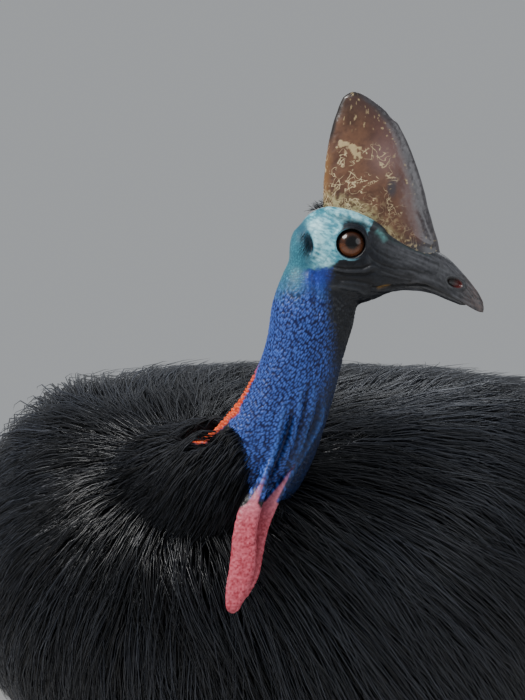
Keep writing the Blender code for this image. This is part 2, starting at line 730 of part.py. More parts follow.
def thigh_locks(side, draw, neighbours):
    """Shorter locks that lie down the thigh to just above the ankle."""
    trees = [surface(n) for n in neighbours]
    reach = (leg_point(ANKLE, side) - leg_point(HIP, side, 0.0)).length
    locks = []
    for row, (share, count, longest) in enumerate(THIGH_ROWS):
        for k in range(count):
            angle = 2 * math.pi * (k + 0.5 * (row % 2) + draw.uniform(-0.12, 0.12)) / count
            length = longest * draw.uniform(0.8, 1.05)
            path = []
            for i in range(int(length / LOCK_STEP) + 2):
                way_down = share + i * LOCK_STEP / reach
                point = thigh_point(side, way_down, angle)
                ahead = thigh_point(side, way_down + 0.03, angle)
                way = (ahead - point).normalized() if way_down < 0.97 else path[-1][2]
                if way_down >= 0.97:
                    point = path[-1][0] + way * LOCK_STEP
                outward = thigh_point(side, way_down, angle, 0.01) - thigh_point(side, way_down, angle)
                normal = (outward - way * outward.dot(way)).normalized()
                path.append((point, normal, way))
            made = fitted_lock(path, length, 0.024 * draw.uniform(0.85, 1.1), trees)
            if made is not None:
                locks.append(made)
    return locks


def make_shank(side, name):
    """The scaly lower leg, with the front scutes as overlapping steps."""
    top, bottom = leg_point(ANKLE, side), leg_point(FOOT, side)
    thigh_axis = (top - leg_point(HIP, side, 0.0)).normalized()
    axis = (bottom - top).normalized()
    stations = [(top - thigh_axis * 0.029, 0.0325, 0.0)]
    stations.append((top - thigh_axis * 0.012, 0.0385, 0.0))
    scutes = 11
    for i in range(scutes):
        for edge in (0.04, 0.90):
            share = (i + edge) / scutes
            radius = float(smooth_between(share, np.linspace(0, 1, len(SHANK_RADII)), SHANK_RADII))
            stations.append((top.lerp(bottom, share), radius, 0.0018 * edge))
    stations.append((bottom + axis * 0.012, 0.031, 0.0))
    rings = []
    for centre, radius, step in stations:
        forward = Vector((0.0, -1.0, 0.0))
        direction = thigh_axis if centre.z > top.z else axis
        forward = (forward - direction * forward.dot(direction)).normalized()
        side_axis = direction.cross(forward)
        rings.append(ring(centre, side_axis * radius * 0.86, forward * (radius + step), 10, 2.1,
                          forward * radius))
    return loft(name, rings)


def toe_direction(toe_angle, side):
    angle = math.radians(toe_angle) * side
    return Vector((math.sin(angle), -math.cos(angle), 0.0))


def make_toe(side, label, name):
    """One toe with its pads flat on the floor and its joints raised above them."""
    angle, reaches, radii, _ = TOES[label]
    direction = toe_direction(angle, side)
    across = Vector((-direction.y, direction.x, 0.0))
    start = leg_point(FOOT, side)
    start.z = 0.0
    stations = [(0.004, radii[0] * 1.02)]
    for i, reach in enumerate(reaches):
        if i:
            stations.append(((reach + reaches[i - 1]) / 2, (radii[i] + radii[i - 1]) / 2 * 0.90))
        stations.append((reach, radii[i]))
    rings = []
    for reach, radius in stations:
        centre = start + direction * reach + Vector((0.0, 0.0, radius * 0.95))
        loop = ring(centre, across * radius * 0.86, Vector((0.0, 0.0, radius)), 10, 2.2)
        rings.append([Vector((p.x, p.y, max(p.z, TOE_SOLE))) for p in loop])
    return loft(name, rings)


def make_claw(side, label, name):
    angle, reaches, radii, length = TOES[label]
    direction = toe_direction(angle, side)
    start = leg_point(FOOT, side) + direction * (reaches[-1] + 0.0004)
    start.z = 0.0
    base = radii[-1] * 0.80
    drop = base * 1.05
    rows = 5
    points, sizes = [], []
    for i in range(rows + 1):
        share = i / rows
        height = drop - (drop - 0.0035) * share**1.6
        points.append(start + direction * length * share + Vector((0.0, 0.0, height)))
        sizes.append(base * (1 - share) ** 0.75 + 0.0008)
    for i, size in enumerate(sizes):
        points[i].z = max(points[i].z, size * 1.02)
    return tube(name, points, sizes, 7, 0.72)


def make_foot(side, name):
    """The joint block between the shank and the three toes, flat below."""
    start = leg_point(FOOT, side)
    rings = []
    for z, size in ((0.0, 0.025), (0.004, 0.0300), (0.022, 0.033), (0.034, 0.031)):
        rings.append(ring((start.x, start.y + 0.004, z), (size * 0.95, 0.0, 0.0), (0.0, size, 0.0), 14, 2.2))
    return loft(name, rings)


def material(slot):
    colour, roughness = COLOURS[slot]
    made = bpy.data.materials.get(slot)
    if made is None:
        made = bpy.data.materials.new(slot)
        made.use_nodes = True
        shader = made.node_tree.nodes["Principled BSDF"]
        shader.inputs["Base Color"].default_value = (*colour, 1.0)
        shader.inputs["Roughness"].default_value = roughness
        shader.inputs["Metallic"].default_value = 0.0
    return made


def finish(obj, slot):
    obj.data.materials.clear()
    obj.data.materials.append(material(slot))
    obj.data.shade_smooth()
    obj.data.set_sharp_from_angle(angle=math.radians(50))


def make_head_and_neck(torso):
    eyes = make_eyes()
    bill_upper, bill_lower = make_bill()
    casque = make_casque()
    head = skull()
    neck_top = loft("neck_top", neck_rings(0.0, 0.01, 1, -0.013)[:1] + neck_rings(0.05, 0.20, 3))
    boolean(head, [neck_top, lid(1), lid(-1), brow(1), brow(-1)], "UNION")
    boolean(head, [ear_hollow(1), ear_hollow(-1)], "DIFFERENCE")
    cut_clear(head, *eyes)
    cut_clear(casque, head)
    cut_clear(bill_upper, head, casque)
    cut_clear(bill_lower, head)
    boolean(bill_upper, [nostril_hollow(1), nostril_hollow(-1)], "DIFFERENCE")
    upper = loft("neck_upper", neck_rings(0.2015, NECK_SPLIT, 5))
    lower = loft("neck_lower", neck_rings(
        NECK_SPLIT + 0.0015, NECK_FEATHERED + 0.02, 5, lean_last=COLLAR_LEAN
    ))
    collar = make_collar()
    cut_clear(upper, head)
    cut_clear(collar, torso)
    cut_clear(lower, collar, torso)
    wattle_right = make_wattle("wattle_right", WATTLE_RIGHT)
    wattle_left = make_wattle("wattle_left", WATTLE_LEFT)
    cut_clear(wattle_right, lower, upper, collar, torso)
    cut_clear(wattle_left, lower, upper, collar, torso, wattle_right)
    for eye in eyes:
        finish(eye, "eye")
    finish(head, "blue_skin")
    finish(upper, "blue_skin")
    finish(lower, "blue_skin")
    finish(collar, "plumage")
    finish(casque, "casque_horn")
    finish(bill_upper, "bill_horn")
    finish(bill_lower, "bill_horn")
    finish(wattle_left, "wattle_skin")
    finish(wattle_right, "wattle_skin")
    return [lower, collar, wattle_left, wattle_right]


def make_thighs(core):
    thighs = []
    for side, label in ((1, "left"), (-1, "right")):
        thigh = make_thigh(side, "thigh_" + label)
        thighs.append(cut_clear(thigh, core))
    return thighs


def make_lower_leg(side, label, thigh):
    shank = make_shank(side, "shank_" + label)
    cut_clear(shank, thigh)
    finish(shank, "leg_scales")
    foot = make_foot(side, "foot_" + label)
    whole = [duplicate(shank), duplicate(foot)]
    cut_clear(foot, shank)
    finish(foot, "leg_scales")
    for toe_label in TOES:
        toe = make_toe(side, toe_label, f"toe_{toe_label}_{label}")
        uncut = duplicate(toe)
        cut_clear(toe, *whole)
        finish(toe, "leg_scales")
        whole.append(uncut)
        claw = make_claw(side, toe_label, f"claw_{toe_label}_{label}")
        cut_clear(claw, uncut)
        finish(claw, "claw_horn")
    remove(whole)
    return shank


def centre_on_origin():
    """Moves everything so that the origin lies on the floor below the middle of the whole bird."""
    corners = [v.co for obj in bpy.data.objects for v in obj.data.vertices]
    middle = [(min(c[i] for c in corners) + max(c[i] for c in corners)) / 2 for i in range(2)]
    shift = Vector((-middle[0], -middle[1], 0.0))
    for obj in bpy.data.objects:
        for vert in obj.data.vertices:
            vert.co += shift


def main():
    remove(list(bpy.data.objects))
    draw = random.Random(11)
    torso = torso_shell("torso", 0.0, TAIL_U, 14, 28)
    tail = torso_shell("tail", TAIL_U + TAIL_GAP_U, 1.0, 5, 28)
    front = make_head_and_neck(torso)
    wings = []
    for side, label in ((1, "left"), (-1, "right")):
        wing = make_wing(side, "wing_" + label)
        wings.append(cut_clear(wing, torso))
        finish(wing, "quill")
    thighs = make_thighs(torso)
    boolean(torso, coat_locks(TORSO_ROWS, TORSO_LAST_TIP, draw, front + wings + thighs), "UNION", "MANIFOLD")
    boolean(tail, coat_locks(TAIL_ROWS, TAIL_LAST_TIP, draw, [torso]), "UNION", "MANIFOLD")
    for thigh, side, label in zip(thighs, (1, -1), ("left", "right")):
        shank = make_lower_leg(side, label, thigh)
        boolean(thigh, thigh_locks(side, draw, [torso, shank]), "UNION", "MANIFOLD")
    for obj in (torso, tail, *thighs):
        finish(obj, "plumage")
    centre_on_origin()


main()
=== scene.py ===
# The looks of a southern cassowary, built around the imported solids. Metres, +Z up, the body faces -Y.

import math

import bmesh
import bpy
import numpy as np
from mathutils import Matrix, Vector, kdtree


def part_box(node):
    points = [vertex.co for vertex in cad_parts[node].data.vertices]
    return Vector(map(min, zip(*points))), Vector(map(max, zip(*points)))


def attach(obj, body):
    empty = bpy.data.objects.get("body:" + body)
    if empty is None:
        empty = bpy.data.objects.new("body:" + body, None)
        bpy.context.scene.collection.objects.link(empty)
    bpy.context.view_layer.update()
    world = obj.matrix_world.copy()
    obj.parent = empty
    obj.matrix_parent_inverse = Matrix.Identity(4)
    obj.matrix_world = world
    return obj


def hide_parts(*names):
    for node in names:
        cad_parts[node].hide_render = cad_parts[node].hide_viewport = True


# The pose and the sizes of the source, which the scene's own forms share with the solids.
HEAD_TURN = math.radians(110)
EYE_HEIGHT = 1.152
NECK_ROOT = np.array((0.0, -0.33, 0.892))
HEAD_FORWARD = np.array((math.sin(HEAD_TURN), -math.cos(HEAD_TURN), 0.0))
HEAD_LEFT = np.array((-HEAD_FORWARD[1], HEAD_FORWARD[0], 0.0))
HEAD_UP = np.array((0.0, 0.0, 1.0))
DOWN = np.array((0.0, 0.0, -1.0))
ROOT_FROM_EYES = np.array((-0.152, 0.120, NECK_ROOT[2] - EYE_HEIGHT))

# The torso's rings from breast to tail: middle, lean, and half sizes across, up and down.
CORE_U = (0.0, 0.10, 0.25, 0.45, 0.65, 0.82, 1.0)
CORE_Y = (-0.366, -0.342, -0.255, -0.055, 0.200, 0.385, 0.510)
CORE_Z = (0.915, 0.892, 0.825, 0.772, 0.750, 0.705, 0.630)
CORE_LEAN = tuple(math.radians(a) for a in (52.0, 46.0, 30.0, 9.0, 0.0, -10.0, -24.0))
CORE_HALF_WIDTH = (0.0, 0.138, 0.266, 0.328, 0.316, 0.226, 0.0)
CORE_UP = (0.0, 0.085, 0.162, 0.206, 0.212, 0.168, 0.0)
CORE_DOWN = (0.0, 0.112, 0.205, 0.232, 0.218, 0.150, 0.0)
CORE_SQUARENESS_ABOVE = 3.5
CORE_SQUARENESS_BELOW = 2.2

# The head's forms are in its own frame: metres from the middle of the eyes, forward, left and up.
SKULL_X = (-0.052, -0.040, -0.022, 0.000, 0.022, 0.042, 0.060, 0.078)
SKULL_TOP = (0.016, 0.030, 0.037, 0.038, 0.031, 0.013, 0.002, -0.007)
SKULL_BOTTOM = (-0.034, -0.045, -0.055, -0.062, -0.057, -0.049, -0.047, -0.048)
SKULL_HALF_WIDTH = (0.018, 0.025, 0.030, 0.0325, 0.031, 0.026, 0.021, 0.017)
SKULL_BACK = (-0.061, 0.0, -0.010)
SKULL_SQUARENESS = 2.2
# Rings of the muzzle: x, top, bottom and half width.
MUZZLE = (
    (0.084, -0.0080, -0.0480, 0.0157),
    (0.090, -0.0125, -0.0480, 0.0132),
    (0.096, -0.0190, -0.0480, 0.0100),
)
EYE_RADIUS = 0.0162
EYE_DEPTH = 0.0185
LID_RADIUS = 0.0134

NECK_PATH = (
    (-0.026, 0.000, -0.020),
    (-0.034, 0.000, -0.056),
    (-0.044, 0.004, -0.102),
    (-0.053, 0.008, -0.135),
    (-0.066, 0.014, -0.170),
    (-0.084, 0.026, -0.205),
    (-0.108, 0.052, -0.236),
    tuple(ROOT_FROM_EYES),
)
NECK_FORE_AFT = (0.040, 0.043, 0.0395, 0.0405, 0.044, 0.050, 0.055, 0.060)
NECK_ACROSS = (0.027, 0.029, 0.0315, 0.033, 0.035, 0.040, 0.047, 0.054)

# Stations of the wattles from root to tip: x, y, z, half width and half thickness.
WATTLE_RIGHT = (
    (-0.080, -0.0080, -0.213, 0.0040, 0.0040),
    (-0.086, -0.0160, -0.236, 0.0070, 0.0045),
    (-0.098, -0.0260, -0.259, 0.0110, 0.0045),
    (-0.105, -0.0320, -0.288, 0.0120, 0.0045),
    (-0.107, -0.0350, -0.318, 0.0130, 0.0050),
    (-0.112, -0.0370, -0.343, 0.0120, 0.0050),
    (-0.1165, -0.0380, -0.360, 0.0075, 0.0040),
)
WATTLE_LEFT = (
    (-0.052, 0.0060, -0.213, 0.0040, 0.0040),
    (-0.064, 0.0000, -0.237, 0.0065, 0.0045),
    (-0.080, -0.0110, -0.259, 0.0095, 0.0045),
    (-0.092, -0.0180, -0.284, 0.0110, 0.0045),
    (-0.098, -0.0210, -0.308, 0.0115, 0.0050),
    (-0.102, -0.0225, -0.332, 0.0110, 0.0050),
    (-0.106, -0.0235, -0.347, 0.0070, 0.0040),
)

SIDES = {1: "left", -1: "right"}

# The skin: how far it lies inside the solids' torso, and the size of its mesh.
SKIN_DEPTH = 0.008
SKIN_VOXEL = 0.0010
LEG_VOXEL = 0.0020
# UNDER_COAT: the body skin's near-black colour, painted as the shade deep in the coat.
UNDER_COAT = 0.004

# The coat. Strands lean in to the guides of their tufts; their stations run from root to tip.
COAT_SEED = 5
GUIDE_COUNT = 2400
GUIDE_LENGTH = 0.215
STRAND_COUNT = 41500
STRAND_STATIONS = np.array((0.0, 0.25, 0.55, 0.82, 1.0))
STRAND_RADII = np.array((0.60, 1.0, 0.88, 0.52))
STRAND_HALF_WIDTH = 0.00074
STRAND_FLATNESS = 0.7
STRANDS_A_PIECE = 8800
TUFT_REACH = 0.022
HANG_FROM_U = 0.93
RUMP_Y = 0.455
RUMP_ROOM = 0.05
THIGH_STRANDS = 2600
VELVET_STRANDS = 8800
VELVET_HALF_WIDTH = 0.00078
BRISTLE_HALF_WIDTH = 0.00022
# How wide a strand's own patch is in the map OFBake.
OF_PATCH = 0.003


def smooth_between(x, keys, values):
    """Values at x of a smooth curve through the keys, which never overshoots them."""
    keys = np.asarray(keys, float)
    values = np.asarray(values, float)
    steps = np.diff(keys)
    slopes = np.diff(values) / steps
    tangents = np.zeros(len(keys))
    tangents[0], tangents[-1] = slopes[0], slopes[-1]
    for i in range(1, len(keys) - 1):
        if slopes[i - 1] * slopes[i] > 0:
            tangents[i] = 2 * slopes[i - 1] * slopes[i] / (slopes[i - 1] + slopes[i])
    x = np.clip(x, keys[0], keys[-1])
    i = np.clip(np.searchsorted(keys, x, side="right") - 1, 0, len(steps) - 1)
    t = (x - keys[i]) / steps[i]
    return (
        values[i] * (1 + 2 * t) * (1 - t) ** 2
        + values[i + 1] * t * t * (3 - 2 * t)
        + steps[i] * (tangents[i] * t * (1 - t) ** 2 - tangents[i + 1] * t * t * (1 - t))
    )


def spline(points, count):
    """count points, evenly spaced in the parameter, on a smooth curve through the given ones."""
    points = np.asarray(points, float)
    keys = np.concatenate([[0], np.cumsum(np.linalg.norm(np.diff(points[:, :3], axis=0), axis=1))])
    x = np.linspace(0, keys[-1], count)
    padded = np.vstack([2 * points[0] - points[1], points, 2 * points[-1] - points[-2]])
    tangents = (padded[2:] - padded[:-2]) / 2
    i = np.clip(np.searchsorted(keys, x, side="right") - 1, 0, len(points) - 2)
    t = ((x - keys[i]) / (keys[i + 1] - keys[i]))[:, None]
    return (
        points[i] * (1 + 2 * t) * (1 - t) ** 2
        + points[i + 1] * t * t * (3 - 2 * t)
        + tangents[i] * t * (1 - t) ** 2
        - tangents[i + 1] * t * t * (1 - t)
    )


def unit(v):
    return v / np.maximum(np.linalg.norm(v, axis=-1, keepdims=True), 1e-9)


def window(x, rise, full, fall, end):
    """0 up to rise, 1 from full to fall, and 0 again from end on, with soft steps between them."""
    return smoothstep(rise, full, x) * smoothstep(end, fall, x)


def clamp(x):
    return np.clip(x, 0, 1)


def columns(*values):
    """Values of the same shape, or ones that can be spread to it, as the last axis of one array."""
    return np.stack(np.broadcast_arrays(*values), -1)


def signed_power(value, exponent):
    return np.sign(value) * np.abs(value) ** exponent


def smoothstep(low, high, x):
    t = clamp((x - low) / (high - low))
    return t * t * (3 - 2 * t)


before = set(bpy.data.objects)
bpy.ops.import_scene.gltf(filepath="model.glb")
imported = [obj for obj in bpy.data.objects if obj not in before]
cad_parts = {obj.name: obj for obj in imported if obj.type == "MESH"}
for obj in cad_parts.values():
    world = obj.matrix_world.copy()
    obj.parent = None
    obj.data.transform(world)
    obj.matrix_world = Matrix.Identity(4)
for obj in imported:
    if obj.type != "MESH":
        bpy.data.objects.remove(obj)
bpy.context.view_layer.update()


def middle(node):
    low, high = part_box(node)
    return (np.array(low) + np.array(high)) / 2


HEAD_CENTRE = (middle("eye_left") + middle("eye_right")) / 2
SHIFT = HEAD_CENTRE - (
    NECK_ROOT
    - HEAD_FORWARD * ROOT_FROM_EYES[0]
    - HEAD_LEFT * ROOT_FROM_EYES[1]
    - HEAD_UP * ROOT_FROM_EYES[2]
)
HEAD_AXES = np.array([HEAD_FORWARD, HEAD_LEFT, HEAD_UP])


def from_head(points):
    """Points of the head's own frame (x along the bill, y to its left, z up), in the world."""
    return HEAD_CENTRE + np.asarray(points, float) @ HEAD_AXES


def to_head(points):
    return (np.asarray(points, float) - HEAD_CENTRE) @ HEAD_AXES.T


def head_mm(points):
    """x, y and z of points, in millimetres of the head's frame."""
    return (to_head(points) * 1000).T


def new_mesh(name, points, faces):
    mesh = bpy.data.meshes.new(name)
    mesh.from_pydata([tuple(p) for p in points], [], [tuple(f) for f in faces])
    mesh.update()
    obj = bpy.data.objects.new(name, mesh)
    bpy.context.scene.collection.objects.link(obj)
    return obj


def vertices(obj):
    points = np.empty(len(obj.data.vertices) * 3)
    obj.data.vertices.foreach_get("co", points)
    return points.reshape(-1, 3)


def normals(obj):
    out = np.empty(len(obj.data.vertices) * 3)
    obj.data.vertices.foreach_get("normal", out)
    return out.reshape(-1, 3)


def set_vertices(obj, points):
    obj.data.vertices.foreach_set("co", np.ascontiguousarray(points, np.float32).ravel())
    obj.data.update()


def raised(obj, relief):
    """An object's vertices, moved along their normals by a relief in millimetres."""
    return vertices(obj) + normals(obj) * (relief * 0.001)[:, None]


def set_attribute(obj, name, values):
    attribute = obj.data.attributes.new(name, "FLOAT", "POINT")
    attribute.data.foreach_set("value", np.asarray(values, np.float32))


def set_tint(obj, colours):
    """Gives each vertex its colour, in linear light."""
    attribute = obj.data.attributes.new("tint", "FLOAT_COLOR", "POINT")
    values = np.column_stack([clamp(colours), np.ones(len(colours))])
    attribute.data.foreach_set("color", np.ascontiguousarray(values, np.float32).ravel())


def apply_modifiers(obj):
    bpy.context.view_layer.update()
    mesh = bpy.data.meshes.new_from_object(obj.evaluated_get(bpy.context.evaluated_depsgraph_get()))
    obj.modifiers.clear()
    obj.data = mesh
    return obj


def loft(name, rings, closed_ends=(True, True)):
    """A body over rings of as many points each, with a fan over each end."""
    rings = np.asarray(rings, float)
    rows, sides = rings.shape[:2]
    points = [*rings.reshape(-1, 3)]
    faces = []
    for r in range(rows - 1):
        for k in range(sides):
            n = (k + 1) % sides
            faces.append((r * sides + k, r * sides + n, (r + 1) * sides + n, (r + 1) * sides + k))
    for end, row in ((0, 0), (1, rows - 1)):
        if closed_ends[end]:
            points.append(rings[row].mean(0))
            for k in range(sides):
                n = (k + 1) % sides
                corner = (row * sides + k, row * sides + n, len(points) - 1)
                faces.append(corner if end else corner[::-1])
    obj = new_mesh(name, points, faces)
    shape = bmesh.new()
    shape.from_mesh(obj.data)
    bmesh.ops.recalc_face_normals(shape, faces=shape.faces)
    shape.to_mesh(obj.data)
    shape.free()
    return obj


def join(objects, name):
    with bpy.context.temp_override(active_object=objects[0], selected_editable_objects=objects):
        bpy.ops.object.join()
    objects[0].name = name
    objects[0].data.name = name
    return objects[0]


def remesh(obj, voxel, smooth=0, factor=0.5):
    """One closed surface over all that an object holds, smoothed a few times."""
    modifier = obj.modifiers.new("remesh", "REMESH")
    modifier.mode = "VOXEL"
    modifier.voxel_size = voxel
    if smooth:
        modifier = obj.modifiers.new("smooth", "SMOOTH")
        modifier.iterations = smooth
        modifier.factor = factor
    return apply_modifiers(obj)


def around(count):
    """Evenly spaced angles of a full turn, as a row."""
    return (np.arange(count) * 2 * np.pi / count)[None, :]


# The torso as a surface over u (from the neck's foot to under the tail) and an angle round it.
def torso(u, angle, out=0.0):
    """Points of the torso's surface, or as far outside it as out says."""
    way = (1 - np.cos(np.pi * u)) / 2
    core_way = (1 - np.cos(np.pi * np.array(CORE_U))) / 2
    y = smooth_between(way, core_way, CORE_Y)
    z = smooth_between(way, core_way, CORE_Z)
    lean = smooth_between(way, core_way, CORE_LEAN)
    width = smooth_between(u, CORE_U, CORE_HALF_WIDTH) + out
    up = smooth_between(u, CORE_U, CORE_UP) + out
    down = smooth_between(u, CORE_U, CORE_DOWN) + out
    c, s = np.cos(angle), np.sin(angle)
    squareness = np.where(s > 0, CORE_SQUARENESS_ABOVE, CORE_SQUARENESS_BELOW)
    c, s = signed_power(c, 2 / squareness), signed_power(s, 2 / squareness)
    rise = np.where(s > 0, up, down) * s
    ahead = out * np.cos(np.pi * u)
    return SHIFT + columns(
        width * c,
        y + np.sin(lean) * rise - np.cos(lean) * ahead,
        z + np.cos(lean) * rise + np.sin(lean) * ahead,
    )


# The grid stops a little short of both ends, where the torso's rings shrink to a point.
GRID_U = 201
GRID_A = 256
GRID_START = 0.002
GRID_SPAN = 0.996


def grid_u(i):
    return GRID_START + GRID_SPAN * i / (GRID_U - 1)


def grid_angle(j):
    return j * 2 * np.pi / GRID_A


def torso_grid():
    """The torso's points, outward normals, lie of the coat, and its rates in u and angle, on a grid."""
    u = np.linspace(GRID_START, GRID_START + GRID_SPAN, GRID_U)[:, None]
    u, a = np.broadcast_arrays(u, grid_angle(np.arange(GRID_A)))
    step = 0.002
    point = torso(u, a)
    along = (torso(np.minimum(u + step, 1), a) - torso(np.maximum(u - step, 0), a)) / (2 * step)
    around = (torso(u, a + step) - torso(u, a - step)) / (2 * step)
    normal = unit(np.cross(along, around))
    sag = 0.12 + 0.60 * clamp((u - 0.12) / 0.45)[..., None]
    down = DOWN - normal * -normal[..., 2:3]
    way = unit(unit(along) + down * sag)
    uu, ua, aa = (along * along).sum(-1), (along * around).sum(-1), (around * around).sum(-1)
    wu, wa = (way * along).sum(-1), (way * around).sum(-1)
    det = np.maximum(uu * aa - ua * ua, 1e-12)
    rate_u = (wu * aa - wa * ua) / det
    rate_a = (wa * uu - wu * ua) / det
    area = np.linalg.norm(np.cross(along, around), axis=-1)
    return {"point": point, "normal": normal, "way": way, "across": unit(around),
            "rate_u": rate_u, "rate_a": rate_a, "area": area}


GRID = torso_grid()


def sample(name, u, a):
    """The grid's value at any u and angle."""
    grid = GRID[name]
    x = np.clip((u - GRID_START) / GRID_SPAN * (GRID_U - 1), 0, GRID_U - 1.001)
    y = (a / (2 * np.pi) * GRID_A) % GRID_A
    i, j = x.astype(int), y.astype(int) % GRID_A
    fx, fy = x - i, y - np.floor(y)
    n = (j + 1) % GRID_A
    if grid.ndim == 3:
        fx, fy = fx[..., None], fy[..., None]
    low = grid[i, j] * (1 - fy) + grid[i, n] * fy
    high = grid[i + 1, j] * (1 - fy) + grid[i + 1, n] * fy
    return low * (1 - fx) + high * fx


def torso_skin():
    u = np.linspace(0.004, 0.996, 90)[:, None]
    return loft("torso_skin", torso(*np.broadcast_arrays(u, around(96)), -SKIN_DEPTH))


# Legs: the same named sizes as the solids.
HIP = np.array((0.125, 0.000, 0.640))
ANKLE = np.array((0.118, 0.140, 0.372))
FOOT = np.array((0.122, 0.088, 0.048))
STAGGER = 0.022
THIGH_RADII = (0.125, 0.122, 0.105, 0.076, 0.047, 0.034)
SCUTES = 15
SHANK_RADII = (0.0400, 0.0300, 0.0260, 0.0255, 0.0270, 0.0320)


def leg_point(point, side, share=1.0):
    return SHIFT + np.array((point[0] * side, point[1] - side * STAGGER * share, point[2]))


def thigh(side, share, angle, out=0.0):
    """Points of the thigh's surface; angle 0 is across the bird and a quarter turn the front."""
    top, bottom = leg_point(HIP, side, 0.0), leg_point(ANKLE, side)
    axis = unit(bottom - top)
    bottom = bottom - axis * 0.030
    forward = np.array((0.0, -1.0, 0.0))
    forward = unit(forward - axis * forward.dot(axis))
    across = np.cross(axis, forward)
    share, angle = np.broadcast_arrays(share, angle)
    radius = np.interp(share, np.linspace(0, 1, len(THIGH_RADII)), THIGH_RADII)
    share, radius = share[..., None], radius[..., None]
    reach = forward * (radius + out) * np.sin(angle)[..., None]
    return top + (bottom - top) * share + (across * (0.8 * radius + out) * np.cos(angle)[..., None] + reach)


def thigh_skin(side):
    share = np.linspace(0.0, 1.0, 40)[:, None]
    return loft("thigh_skin", thigh(side, share, around(48), -0.004))


def node_tree(material):
    material.use_nodes = True
    return material.node_tree, material.node_tree.nodes["Principled BSDF"]


def plain_material(name, colour, roughness=0.5, **sockets):
    material = bpy.data.materials.new(name)
    _, shader = node_tree(material)
    shader.inputs["Base Color"].default_value = (*colour, 1)
    shader.inputs["Roughness"].default_value = roughness
    for key, value in sockets.items():
        shader.inputs[key.replace("_", " ")].default_value = value
    return material


def finish(obj, material, smooth=True):
    obj.data.materials.clear()
    obj.data.materials.append(material)
    if smooth:
        obj.data.shade_smooth()
    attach(obj, "root")
    return obj


# Strands of the coat.
def strand_faces(rings):
    """Triangles of one strand: a three-sided tube of so many rings, shut at its root, and its tip."""
    faces = [(0, 2, 1)]
    for r in range(rings - 1):
        for k in range(3):
            a, b = r * 3 + k, r * 3 + (k + 1) % 3
            faces += [(a, b, b + 3), (a, b + 3, a + 3)]
    last = (rings - 1) * 3
    faces += [(last + k, last + (k + 1) % 3, rings * 3) for k in range(3)]
    return np.array(faces)


def strand_mesh(name, centres, ups, half_widths, uv_u, uv_v, tone):
    """One mesh of three-sided tapered strands: centres are (strand, station, xyz), the last station a tip."""
    count, stations = centres.shape[:2]
    rings = stations - 1
    ways = unit(np.gradient(centres, axis=1))[:, :-1]
    side = unit(np.cross(ways, np.broadcast_to(ups, centres.shape)[:, :-1]))
    ups = unit(np.cross(side, ways))
    width = (half_widths[:, None] * STRAND_RADII)[..., None]
    corners = []
    for k in range(3):
        angle = math.radians(90 + 120 * k)
        out = side * math.cos(angle) + ups * math.sin(angle) * STRAND_FLATNESS
        corners.append(centres[:, :-1] + width * out)
    points = np.concatenate([np.stack(corners, 2).reshape(count, rings * 3, 3), centres[:, -1:]], 1)
    each = points.shape[1]
    faces = (strand_faces(rings) + (np.arange(count) * each)[:, None, None]).reshape(-1, 3)
    mesh = bpy.data.meshes.new(name)
    mesh.vertices.add(count * each)
    mesh.vertices.foreach_set("co", points.astype(np.float32).ravel())
    mesh.loops.add(len(faces) * 3)
    mesh.loops.foreach_set("vertex_index", faces.astype(np.int32).ravel())
    mesh.polygons.add(len(faces))
    mesh.polygons.foreach_set("loop_start", np.arange(len(faces), dtype=np.int32) * 3)
    mesh.update(calc_edges=True)
    along = np.concatenate([np.repeat(STRAND_STATIONS[:rings], 3), [1.0]])
    aside = np.concatenate([np.tile([0.0, 0.5, 1.0], rings), [0.5]])
    u = clamp(uv_u[:, None] + (along - 0.5) * OF_PATCH)
    v = clamp(uv_v[:, None] + (aside - 0.5) * OF_PATCH)
    layer = mesh.uv_layers.new(name="OFBake")
    layer.data.foreach_set("uv", columns(u, v).reshape(-1, 2)[faces.ravel()].astype(np.float32).ravel())
    obj = bpy.data.objects.new(name, mesh)
    bpy.context.scene.collection.objects.link(obj)
    set_attribute(obj, "tone", np.repeat(tone, each))
    return obj


def plumage(material, name, *strands):
    """A piece of the coat, from what strand_mesh takes."""
    piece = finish(strand_mesh(name, *strands), material)


def trace(u, a, lengths, swerve, steps=18):
    """Where strands rooted at u and a run over the torso: points and normals, evenly spaced along them."""
    points, ups = [], []
    free = np.zeros(len(u), bool)
    point, normal, way = sample("point", u, a), unit(sample("normal", u, a)), unit(sample("way", u, a))
    step = lengths / (steps - 1)
    for _ in range(steps):
        points.append(point)
        ups.append(normal)
        rate_u, rate_a = sample("rate_u", u, a), sample("rate_a", u, a)
        new_u = np.clip(u + rate_u * step, 0.01, 0.999)
        across = np.linalg.norm(sample("across", u, a), axis=-1)
        radius = 0.02 + 0.28 * np.sin(np.pi * clamp(u))
        a = a + (rate_a + swerve * across / radius) * step
        free |= new_u > HANG_FROM_U
        u = new_u
        hanging = unit(way + DOWN * (step * 7.0)[:, None])
        f = free[:, None]
        point = np.where(f, point + hanging * step[:, None], sample("point", u, a))
        way = np.where(f, hanging, unit(sample("way", u, a)))
        upright = unit(normal - hanging * (normal * hanging).sum(-1, keepdims=True))
        normal = np.where(f, upright, unit(sample("normal", u, a)))
    return np.stack(points, 1), np.stack(ups, 1)


def scatter(draw, count, weight):
    """Random places on the torso, evenly by area times the weight."""
    chance = (GRID["area"] * weight).ravel()
    total = np.cumsum(chance)
    cell = np.searchsorted(total, draw.random(count) * total[-1])
    i, j = np.divmod(cell, GRID_A)
    u = grid_u(i + draw.uniform(-0.5, 0.5, count))
    a = grid_angle(j + draw.uniform(-0.5, 0.5, count))
    return np.clip(u, 0.012, 0.99), a


def resample(path, stations):
    """Values at the stations (0 to 1) of paths sampled evenly: (strand, step, xyz)."""
    x = stations * (path.shape[1] - 1)
    i = np.minimum(x.astype(int), path.shape[1] - 2)
    f = (x - i)[None, :, None]
    return path[:, i] * (1 - f) + path[:, i + 1] * f


